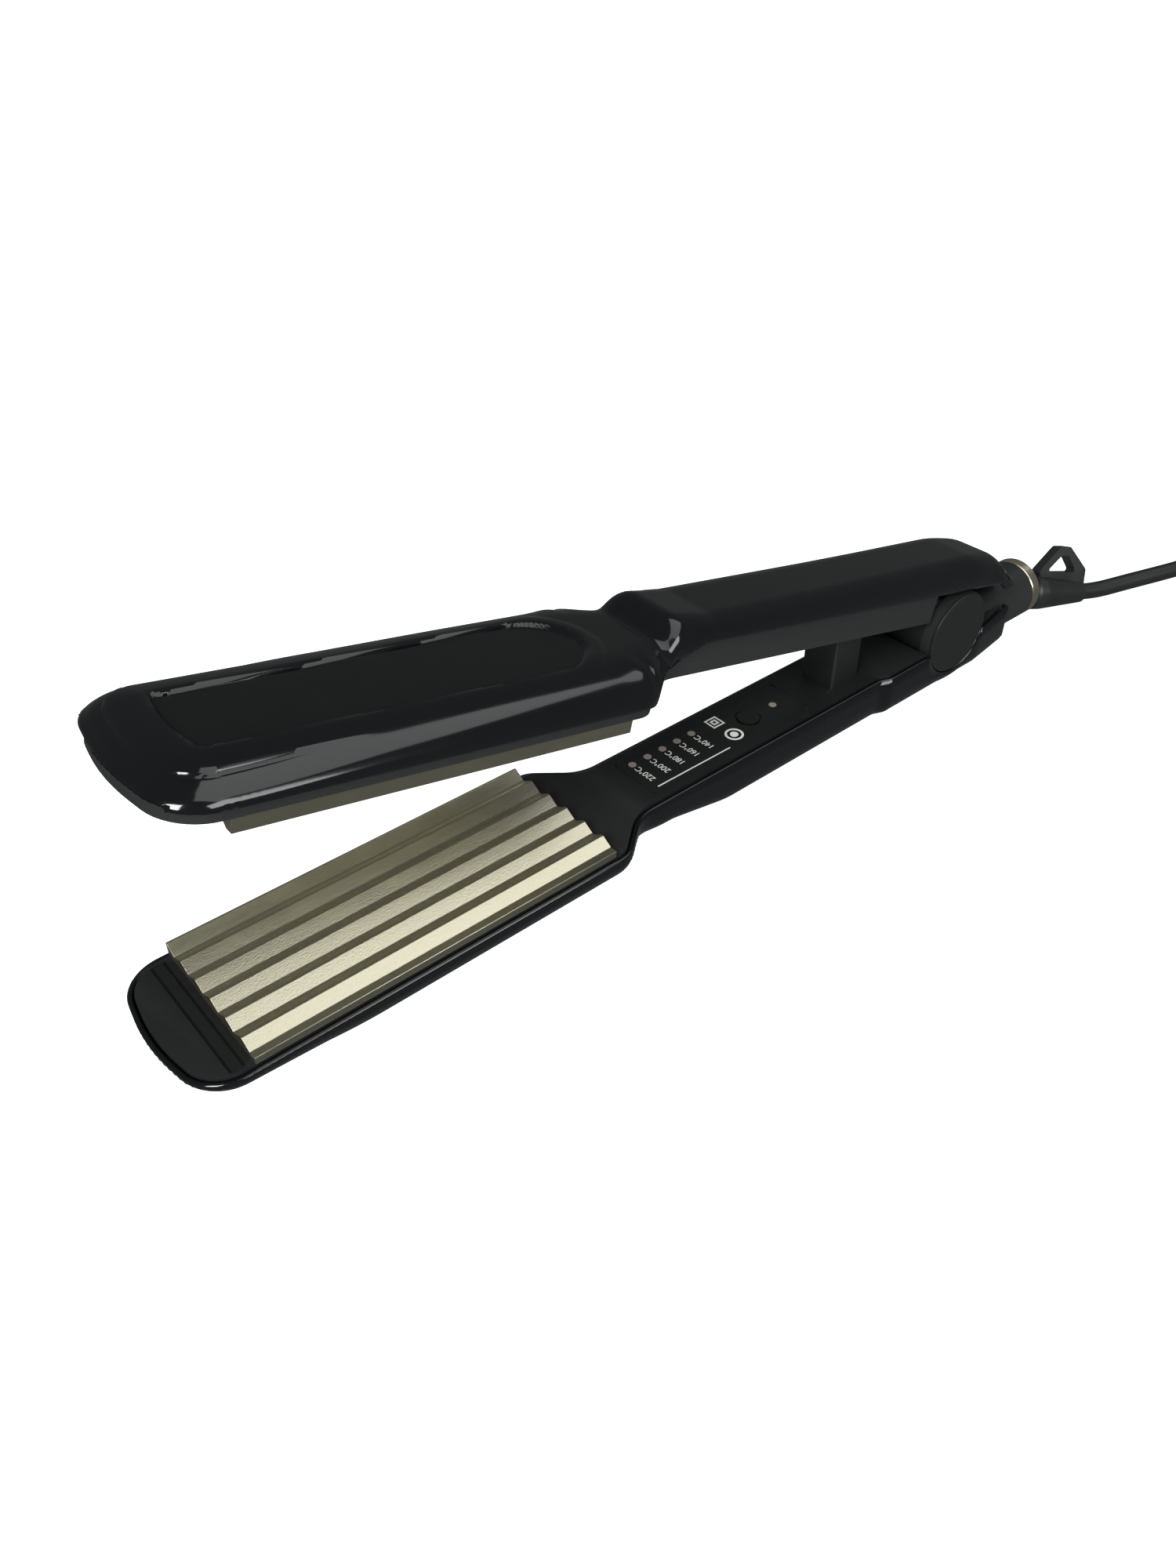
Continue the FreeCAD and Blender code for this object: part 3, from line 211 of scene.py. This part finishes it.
def evenly(line, step):
    """The same line with points at equal steps."""
    reach = [0.0]
    for a, b in zip(line, line[1:]):
        reach.append(reach[-1] + (b - a).length)
    count = max(2, round(reach[-1] / step))
    points = []
    for i in range(count + 1):
        wanted = reach[-1] * i / count
        j = min(max(bisect.bisect_right(reach, wanted), 1), len(line) - 1)
        span = reach[j] - reach[j - 1] or 1.0
        points.append(line[j - 1].lerp(line[j], (wanted - reach[j - 1]) / span))
    return points


def half_outline(corners, step):
    """-Y half of an outline whose first and last corners lie on the +Y side."""
    line = [p for p in rounded(corners) if p.y <= 1e-6]
    for end in (0, -1):
        if line[end].y < -1e-6:
            line.insert(0 if end == 0 else len(line), Vector((line[end].x, 0.0)))
    return evenly(line, step)


def profile(corners):
    """Function that gives the height of a rounded side line at any x."""
    line = rounded(corners)
    xs = [p.x for p in line]

    def height(x):
        j = min(max(bisect.bisect_right(xs, x), 1), len(xs) - 1)
        t = (x - xs[j - 1]) / max(1e-6, xs[j] - xs[j - 1])
        return line[j - 1].y + t * (line[j].y - line[j - 1].y)

    return height


def nearness(half):
    """Function that gives the distance from a point to the nearest point of an outline."""
    tree = KDTree(len(half))
    for i, p in enumerate(half):
        tree.insert((p.x, p.y, 0.0), i)
    tree.balance()
    return lambda x, y: tree.find((x, -abs(y), 0.0))[2]


def ease(value, low, high):
    """Smooth step from 0 at low to 1 at high."""
    t = min(max((value - low) / (high - low), 0.0), 1.0)
    return t * t * (3 - 2 * t)


def skin(name, rows, body, paint, place, mirrored=True, closed=False):
    """Piece made of rows of points in millimetres.

    A mirrored piece gets its other half across the middle plane, and closed rows are rings.
    """
    mesh = bmesh.new()
    for side in (1, -1) if mirrored else (1,):
        grid = []
        for row in rows:
            grid.append([mesh.verts.new(place @ Vector((x * MM, side * y * MM, z * MM)))
                         for x, y, z in row])
        for low, high in zip(grid, grid[1:]):
            pairs = list(zip(range(len(low)), range(1, len(low))))
            if closed:
                pairs.append((len(low) - 1, 0))
            for i, j in pairs:
                face = [low[i], low[j], high[j], high[i]]
                mesh.faces.new(face if side > 0 else face[::-1])
    bmesh.ops.remove_doubles(mesh, verts=mesh.verts, dist=1e-5)
    bmesh.ops.dissolve_degenerate(mesh, edges=mesh.edges, dist=1e-6)
    bmesh.ops.recalc_face_normals(mesh, faces=mesh.faces)
    return piece(name, mesh, body, paint)


def piece(name, mesh, body, paint, sharp=35):
    """Object from finished mesh data that rides on a body."""
    data = bpy.data.meshes.new(name)
    mesh.to_mesh(data)
    mesh.free()
    data.shade_smooth()
    data.set_sharp_from_angle(angle=math.radians(sharp))
    made = bpy.data.objects.new(name, data)
    bpy.context.scene.collection.objects.link(made)
    data.materials.append(FINISHES.get(paint, PRINT))
    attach(made, body)
    return made


# ---------------------------------------------------------------- outline of both heads

NOSE_TIP, NOSE_SIDE = -279.3, -275.5
HEAD_HALF, GRIP_HALF = 23.3, 13
HEAD = [(NOSE_SIDE, HEAD_HALF, 12), (NOSE_TIP, 0, 60), (NOSE_SIDE, -HEAD_HALF, 12),
        (-152.5, -HEAD_HALF, 8), (-140, -GRIP_HALF, 14)]
SHELL_WALL = 1.3


def inwards(p, t, ridge):
    """Point at the share t of the way from an outline point to a stretch of the middle line."""
    return p.x + t * (min(max(p.x, ridge[0]), ridge[1]) - p.x), p.y * (1 - t)


def give_wall(shell):
    """Turn the skin of a shell into a wall with a thickness."""
    wall = shell.modifiers.new("thickness", "SOLIDIFY")
    wall.thickness = SHELL_WALL * MM
    wall.offset = -1.0


# ---------------------------------------------------------------- upper arm

# Side lines are (x, z, radius) and outlines are (x, y, radius). The roof and the seam are the
# top and the bottom of the gloss shell, and a ridge is the stretch that its rows shrink to.
SLIM = HEAD + [(33, -GRIP_HALF, 10), (33, GRIP_HALF, 10), (30, 14, 1)]
ROOF = profile([(-287.3, 6.2, 0), (-270, 12.5, 30), (-160, 14.8, 20), (-141, 15.4, 5),
                (-136, 20.8, 4), (-121, 19.3, 20), (-60, 21, 80), (2, 23.2, 40),
                (17, 22.4, 16), (37, 10.5, 0)])
SEAM = profile([(-292, 6.5, 0), (-151.5, 6.5, 1.5), (-150, 9.5, 1.5), (-139, 10.5, 6),
                (-126, 15.4, 12), (18, 15.4, 3), (22, 12.5, 3), (45, 12.5, 0)])
ROOF_RIDGE = (-257.0, 20.0)
NOSE_STEP, SECOND_STEP, TAIL_STEP = 0.8, 0.25, 0.3

INLAY_NOSE, INLAY_TAIL = -268.5, -152.2
INLAY = [(-266, 13.2, 3), (INLAY_NOSE, 0, 50), (-266, -13.2, 3), (-168, -14.8, 15),
         (INLAY_TAIL, 0, 13), (-168, 14.8, 15), (-266, 13.2, 3)]
INLAY_RIDGE = (-255.0, -168.0)
RECESS = 1.1
FIELD_LIFT = 0.24
BADGE_X = -128.5

upper_edge = half_outline(SLIM, 1.0)
upper_edge_gap = nearness(half_outline(SLIM, 0.4))
inlay_edge = half_outline(INLAY, 0.8)
inlay_edge_gap = nearness(half_outline(INLAY, 0.3))
inlay_half = profile([(p.x, -p.y, 0.0) for p in evenly(inlay_edge, 1.0)])


def shoulder(x):
    """Width and depth of the rounding between the roof and the side."""
    wide = 15 - 2 * ease(x, -235, -185) - 6.5 * ease(x, -162, -138) + 3 * ease(x, 5, 25)
    deep = 8 - 2 * ease(x, -156, -138) + 3 * ease(x, 5, 25)
    return wide, min(deep, ROOF(x) - SEAM(x) - 0.4)


def inside_inlay(x, y):
    """Distance to the edge of the trim panel, positive inside it."""
    inside = INLAY_NOSE < x < INLAY_TAIL - 0.2 and abs(y) < inlay_half(x)
    return inlay_edge_gap(x, y) if inside else -inlay_edge_gap(x, y)


def roof(x, y):
    """Height of the upper shell: two low steps go round the nose, one round the panel's tail."""
    gap = upper_edge_gap(x, y)
    wide, deep = shoulder(x)
    z = ROOF(x)
    if gap < wide:
        z -= deep * (1 - math.sqrt(1 - (1 - gap / wide) ** 2))
    nose = 1 - ease(x, -262, -226)
    z += NOSE_STEP * nose * ease(gap, 4.6, 5.2) - NOSE_STEP * nose
    z += SECOND_STEP * (1 - ease(x, -276, -262)) * ease(gap, 1.6, 2.2)
    tail = ease(x, -172, -162) * (1 - ease(x, -150, -146))
    z += TAIL_STEP * tail * ease(inside_inlay(x, y), -3, -2.2)
    return z


def recessed_roof(x, y):
    """Height of the upper shell with the recess for the trim panel."""
    return roof(x, y) - RECESS * ease(inside_inlay(x, y), 0.7, 1.8)


def upper_shell():
    rows = []
    for t in (1.0, 0.6, 0.25):
        rows.append([(p.x, p.y, SEAM(p.x) + (1 - t) * (recessed_roof(p.x, p.y) - SEAM(p.x)))
                     for p in upper_edge])
    count = 48
    for k in range(count + 1):
        row = []
        for p in upper_edge:
            x, y = inwards(p, (k / count) ** 1.15, ROOF_RIDGE)
            row.append((x, y, recessed_roof(x, y)))
        rows.append(row)
    shell = skin("gloss_upper_shell", rows, "upper_arm", "gloss_shell", UPPER)
    give_wall(shell)
    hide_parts("upper_outer_shell")


def trim_panel():
    """Trim panel with a raised bead, a fine groove and a satin field."""
    steps = [(0.0, -0.9), (0.0, 0.02), (0.12, 0.16), (0.5, 0.2), (0.62, 0.1), (0.7, -0.3),
             (1.05, -0.3), (1.13, 0.05), (1.3, 0.2), (1.7, FIELD_LIFT)]
    rows = []
    for inset, lift in steps:
        row = []
        for i, p in enumerate(inlay_edge):
            way = inlay_edge[min(i + 1, len(inlay_edge) - 1)] - inlay_edge[max(i - 1, 0)]
            normal = Vector((-way.y, way.x)).normalized()
            if i in (0, len(inlay_edge) - 1):
                normal = Vector((math.copysign(1, normal.x), 0.0))
            q = p + normal * inset
            base = p if inset < 0.3 else q
            row.append((q.x, min(q.y, 0.0), roof(base.x, base.y) + lift))
        rows.append(row)
    field_edge = [Vector(q[:2]) for q in rows[-1]]
    count = 16
    for k in range(1, count + 1):
        t = k / count
        row = []
        for p in field_edge:
            x, y = inwards(p, t, INLAY_RIDGE)
            row.append((x, y, roof(x, y) + FIELD_LIFT + 0.1 * ease(t, 0, 0.6)))
        rows.append(row)
    panel = skin("trim_panel_inlay", rows, "upper_arm", "trim", UPPER)
    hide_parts("upper_trim_panel")


def medallion():
    """Medallion with plain concentric rings."""
    shape = [(0.0, 0.3), (1.4, 0.28), (1.7, 0.1), (2.1, 0.1), (2.4, 0.45), (3.3, 0.45),
             (3.6, 0.15), (4.1, 0.15), (4.4, 0.5), (5.2, 0.5), (5.5, 0.3), (5.7, 0.05),
             (6.0, 0.0), (6.0, -0.9)]
    top = ROOF(BADGE_X) + 0.1
    rows = []
    for radius, lift in shape:
        rows.append([(BADGE_X + radius * math.cos(math.radians(a)),
                      radius * math.sin(math.radians(a)), top + lift) for a in range(0, 360, 5)])
    badge = skin("medallion_rings", rows, "upper_arm", "dark_metal", UPPER, False, True)
    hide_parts("medallion")


# ---------------------------------------------------------------- lower arm

CASE = HEAD + [(-37, -GRIP_HALF, 3), (-33, -14.6, 3), (14, -14.6, 6), (34, -12, 2),
               (34, 12, 2), (31, GRIP_HALF, 1)]
BELLY = profile([(-285.3, -9.6, 0), (-236, -15.3, 120), (-126, -15.3, 20), (-104, -19.5, 30),
                 (54, -19.5, 0)])
BELLY_RIDGE = (-257.0, 22.0)
RIM, CAP_RADIUS = -3.9, 14.3

lower_edge = half_outline(CASE, 1.0)
lower_edge_gap = nearness(half_outline(CASE, 0.4))


def rim(x):
    """Height of the lower shell's rim, which dips round the hinge caps."""
    return min(RIM, -math.sqrt(CAP_RADIUS ** 2 - x * x)) if abs(x) < CAP_RADIUS else RIM


def belly(x, y):
    """Height of the lower shell's underside."""
    gap = lower_edge_gap(x, y)
    grip = ease(x, -152, -128)
    wide = 13 - 7 * grip
    deep = min(10 - 4 * grip, rim(x) - BELLY(x) - 0.4)
    z = BELLY(x)
    if gap < wide:
        z += deep * (1 - math.sqrt(1 - (1 - gap / wide) ** 2))
    return z


def lower_shell():
    rows = []
    for t in (1.0, 0.6, 0.25):
        rows.append([(p.x, p.y, belly(p.x, p.y) + t * (rim(p.x) - belly(p.x, p.y)))
                     for p in lower_edge])
    count = 40
    for k in range(count + 1):
        row = []
        for p in lower_edge:
            x, y = inwards(p, (k / count) ** 1.3, BELLY_RIDGE)
            row.append((x, y, belly(x, y)))
        rows.append(row)
    shell = skin("gloss_lower_shell", rows, "lower_arm", "gloss_shell", LOWER)
    give_wall(shell)
    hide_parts("lower_outer_shell")


# ---------------------------------------------------------------- wave plates and spring

PLATE_ENDS, PLATE_HALF, PLATE_BACK = (-262.84, -156.84), 22.0, 3.25
WAVES, WAVE_PITCH, WAVE_HIGH, WAVE_LAND, HALF_GAP = 12, 3.8, 1.0, 0.6, 0.15


def wave_plate(name, way, body, place, node):
    """Plate with crisp waves and a flat back; way is 1 for the lower plate, -1 for the upper."""
    line = [(PLATE_HALF, PLATE_BACK)]
    for i in range(WAVES):
        y = PLATE_HALF - WAVE_PITCH * i
        z = HALF_GAP - way * (WAVE_HIGH if i % 2 == 0 else -WAVE_HIGH)
        line += [(y, z), (y - WAVE_LAND if i < WAVES - 1 else -PLATE_HALF, z)]
    line.append((-PLATE_HALF, PLATE_BACK))
    mesh = bmesh.new()
    ends = []
    for x in PLATE_ENDS:
        ends.append([mesh.verts.new(place @ Vector((x * MM, y * MM, -way * z * MM)))
                     for y, z in line])
    for i in range(len(line)):
        j = (i + 1) % len(line)
        mesh.faces.new((ends[0][i], ends[0][j], ends[1][j], ends[1][i]))
    for end in ends:
        mesh.faces.new(end)
    bmesh.ops.recalc_face_normals(mesh, faces=mesh.faces)
    plate = piece(name, mesh, body, "heat_plate", 20)
    edges = plate.modifiers.new("rubbed_edges", "BEVEL")
    edges.width = 0.1 * MM
    edges.segments = 2
    edges.limit_method = "ANGLE"
    edges.angle_limit = math.radians(20)
    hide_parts(node)


def opening_spring():
    """Coil in the post, drawn at one fixed length."""
    foot, head = Vector((-47.3, 0, -15.5)), Vector((-44.1, 0, 29.0))
    along = (head - foot).normalized()
    side = along.orthogonal().normalized()
    out = along.cross(side)
    turns, steps, radius, wire = 9, 24, 2.6, 0.6
    round_wire = [2 * math.pi * k / 8 for k in range(8)]
    rows = []
    for i in range(turns * steps + 1):
        angle = 2 * math.pi * i / steps
        spoke = side * math.cos(angle) + out * math.sin(angle)
        centre = foot.lerp(head, i / (turns * steps)) + spoke * radius
        rows.append([centre + (spoke * math.cos(b) + along * math.sin(b)) * wire
                     for b in round_wire])
    coil = skin("coil_spring", rows, "lower_arm", "steel", LOWER, False, True)
    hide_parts("opening_spring")
    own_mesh(coil)


# ---------------------------------------------------------------- print on the control panel

INK = (-3.32, -3.24)
BORDER = (-3.32, -3.22)
LABEL_X, LABEL_STEP, LABEL_Y, LABEL_Z = -126.8, 5.92, 3.6, -3.26
MARK_X, MARK_Y = -93.6, -3.2
SYMBOL_X, SYMBOL_Y = -93.8, 5.0
PANEL_NOSE, PANEL_MIDDLE, PANEL_TAIL, PANEL_HALF = -131, -98, -65.5, 8.4


def strip(name, outer, inner, height=INK, paint="print"):
    """Flat ink of a small thickness between an outer and an inner loop of points."""
    low, high = height
    rows = [[(x, y, low) for x, y in outer], [(x, y, high) for x, y in outer],
            [(x, y, high) for x, y in inner], [(x, y, low) for x, y in inner]]
    skin(name, rows, "lower_arm", paint, LOWER, False, True)


def square(half):
    x, y = SYMBOL_X, SYMBOL_Y
    return [(x - half, y - half), (x + half, y - half), (x + half, y + half), (x - half, y + half)]


def ring(radius):
    return [(MARK_X + radius * math.cos(math.radians(a)), MARK_Y + radius * math.sin(math.radians(a)))
            for a in range(0, 360, 10)]


def panel_edge(inset):
    """Outline of the control panel with round corners, moved inwards by inset."""
    side, nose, tail = PANEL_HALF - inset, PANEL_NOSE + inset, PANEL_TAIL - inset
    return (rounded([(PANEL_MIDDLE, side, 0), (tail, side, 4), (tail, 0, 0)])
            + rounded([(tail, 0, 0), (tail, -side, 4), (PANEL_MIDDLE, -side, 0)])
            + rounded([(PANEL_MIDDLE, -side, 0), (nose, -side, 1.5), (nose, 0, 0)])
            + rounded([(nose, 0, 0), (nose, side, 1.5), (PANEL_MIDDLE, side, 0)]))


def temperature_label(place, number):
    """Temperature beside its lamp, upright for a reader at the tail."""
    name = "temperature_" + number
    text = bpy.data.curves.new(name, "FONT")
    text.body = number + "°C"
    text.size = 2.9 * MM
    text.extrude = 0.03 * MM
    text.align_x = "RIGHT"
    text.align_y = "CENTER"
    label = bpy.data.objects.new(name, text)
    bpy.context.scene.collection.objects.link(label)
    label.matrix_world = (LOWER @ Matrix.Translation(place)
                          @ Matrix.Rotation(math.radians(90), 4, "Z"))
    text.materials.append(PRINT)
    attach(label, "lower_arm")


def control_print():
    for i, number in enumerate(("220", "200", "180", "160", "140")):
        x = LABEL_X + LABEL_STEP * i
        temperature_label((x * MM, LABEL_Y * MM, LABEL_Z * MM), number)
    strip("symbol_outer_square", square(2.3), square(1.75))
    strip("symbol_inner_square", square(1.1), square(0.5))
    strip("round_mark_ring", ring(2.9), ring(2.2))
    strip("round_mark_dot", ring(1.3), ring(0.02))
    strip("panel_border", panel_edge(0.25), panel_edge(0.5), BORDER, "dark_metal")
    strip("print_line", [(-128, -7.1), (-99.3, -7.3), (-99.3, -6.9), (-128, -6.7)],
          [(-127.9, -6.95), (-99.4, -7.15), (-99.4, -7.1), (-127.9, -6.9)])


# ---------------------------------------------------------------- cord

CORD_RADIUS = 3.0
CORD_STEP = 6.2
HANK_X, HANK_Y, HANK_LOW = 348.0, -10.0, 3.7
HANK_HALF, HANK_RADIUS = 22.0, 24.5
# The cord goes on to the next column or layer every PLACE_POINTS points, over SHIFT_POINTS.
HANK_POINTS, TURN_POINTS, PLACE_POINTS, SHIFT_POINTS = 111, 18, 15, 3
# In a bend the points are ARC_STEP degrees apart, and outside it by a share of 1 / ARC_PULL.
ARC_STEP = 30
ARC_PULL = 0.966


def hank_points():
    """Control points of six turns, wound in two columns and four layers by a loop."""
    points = []
    for k in range(HANK_POINTS):
        places, since = divmod(k - PLACE_POINTS, PLACE_POINTS)
        moved = places + min(since / SHIFT_POINTS, 1.0) if k > PLACE_POINTS else 0.0
        whole, part = int(moved), moved - int(moved)
        layer = (whole // 2) + (part if whole % 2 else 0.0)
        column = (0, 1, 1, 0)[whole % 4] + (part * (1, 0, -1, 0)[whole % 4])
        radius = HANK_RADIUS - CORD_STEP * column
        spot = k % TURN_POINTS
        if spot < 3:
            x, y = HANK_HALF * (spot - 1) * 0.6, -radius
        elif spot < 9:
            turn = math.radians(-75 + ARC_STEP * (spot - 3))
            x = HANK_HALF + radius / ARC_PULL * math.cos(turn)
            y = radius / ARC_PULL * math.sin(turn)
        elif spot < 12:
            x, y = HANK_HALF * (10 - spot) * 0.6, radius
        else:
            turn = math.radians(105 + ARC_STEP * (spot - 12))
            x = -HANK_HALF + radius / ARC_PULL * math.cos(turn)
            y = radius / ARC_PULL * math.sin(turn)
        points.append((HANK_X + x, HANK_Y + y, HANK_LOW + CORD_STEP * layer))
    return points


def cord():
    """Mains cord: from the strain relief, over the table, into its hank and to the plug."""
    route = [(190.4, -12.2, 4.6), (196.5, -14.4, 3.4), (214.0, -18.7, 3.0), (240.0, -26.5, 3.0),
             (270.0, -32.5, 3.0), (295.0, -34.5, 3.7), (316.0, -34.5, 3.7)]
    route += hank_points()
    route += [(376.0, -34.5, 22.3), (391.0, -34.2, 22.3), (403.0, -32.2, 18.8),
              (419.0, -27.6, 10.4), (431.0, -24.6, 6.85), (441.5, -24.0, 6.85)]
    curve = bpy.data.curves.new("mains_cord", "CURVE")
    curve.dimensions = "3D"
    curve.bevel_depth = CORD_RADIUS * MM
    curve.bevel_resolution = 5
    curve.resolution_u = 6
    curve.use_fill_caps = True
    line = curve.splines.new("NURBS")
    line.points.add(len(route) - 1)
    for point, (x, y, z) in zip(line.points, route):
        point.co = (x * MM, y * MM, z * MM, 1.0)
    line.order_u = 3
    line.use_endpoint_u = True
    lead = bpy.data.objects.new("mains_cord", curve)
    bpy.context.scene.collection.objects.link(lead)
    curve.materials.append(FINISHES["cord"])
    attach(lead, "lower_arm")
    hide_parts("cord_lead", "cord_hank", "cord_plug_lead")


# ---------------------------------------------------------------- studio

def softbox(name, place, target, wide, tall, watts):
    data = bpy.data.lights.new(name, "AREA")
    data.shape = "RECTANGLE"
    data.size = wide
    data.size_y = tall
    data.energy = watts
    light = bpy.data.objects.new(name, data)
    bpy.context.scene.collection.objects.link(light)
    light.location = place
    light.rotation_euler = (Vector(target) - Vector(place)).to_track_quat("-Z", "Y").to_euler()


def dim_world():
    """Faint even light from all round."""
    world = bpy.data.worlds.new("studio")
    world.use_nodes = True
    background = world.node_tree.nodes["Background"]
    background.inputs["Color"].default_value = (0.75, 0.78, 0.76, 1.0)
    background.inputs["Strength"].default_value = 0.12
    bpy.context.scene.world = world


def paper_floor():
    """White paper under the tool that gives light itself, so that it stays white all over."""
    mesh = bmesh.new()
    bmesh.ops.create_grid(mesh, x_segments=8, y_segments=8, size=6.0)
    data = bpy.data.meshes.new("floor")
    mesh.to_mesh(data)
    mesh.free()
    floor = bpy.data.objects.new("floor", data)
    bpy.context.scene.collection.objects.link(floor)
    floor.location = (0.0, 0.0, -0.0003)
    paper = bpy.data.materials.new("white_paper")
    paper.use_nodes = True
    shader = paper.node_tree.nodes["Principled BSDF"]
    shader.inputs["Base Color"].default_value = (0.86, 0.86, 0.86, 1.0)
    shader.inputs["Roughness"].default_value = 0.35
    shader.inputs["Emission Color"].default_value = (1.0, 1.0, 1.0, 1.0)
    shader.inputs["Emission Strength"].default_value = 0.95
    data.materials.append(paper)
    floor.visible_glossy = False


def studio():
    dim_world()
    paper_floor()
    softbox("left_box", (-0.95, -0.5, 0.85), (-0.05, 0.0, 0.06), 0.45, 0.6, 16)
    softbox("top_box", (0.42, -0.36, 1.1), (-0.1, 0.0, 0.02), 1.3, 1.0, 5.5)
    softbox("front_box", (0.3, -1.3, 0.7), (0.05, 0.0, 0.03), 0.8, 0.5, 7)
    scene = bpy.context.scene
    scene.view_settings.view_transform = "Standard"
    scene.view_settings.look = "None"


aim_camera()
repaint_frame()
cord()
upper_shell()
trim_panel()
medallion()
lower_shell()
wave_plate("lower_wave_plate", 1, "lower_arm", LOWER, "lower_heat_plate")
wave_plate("upper_wave_plate", -1, "upper_arm", UPPER, "upper_heat_plate")
opening_spring()
control_print()
studio()
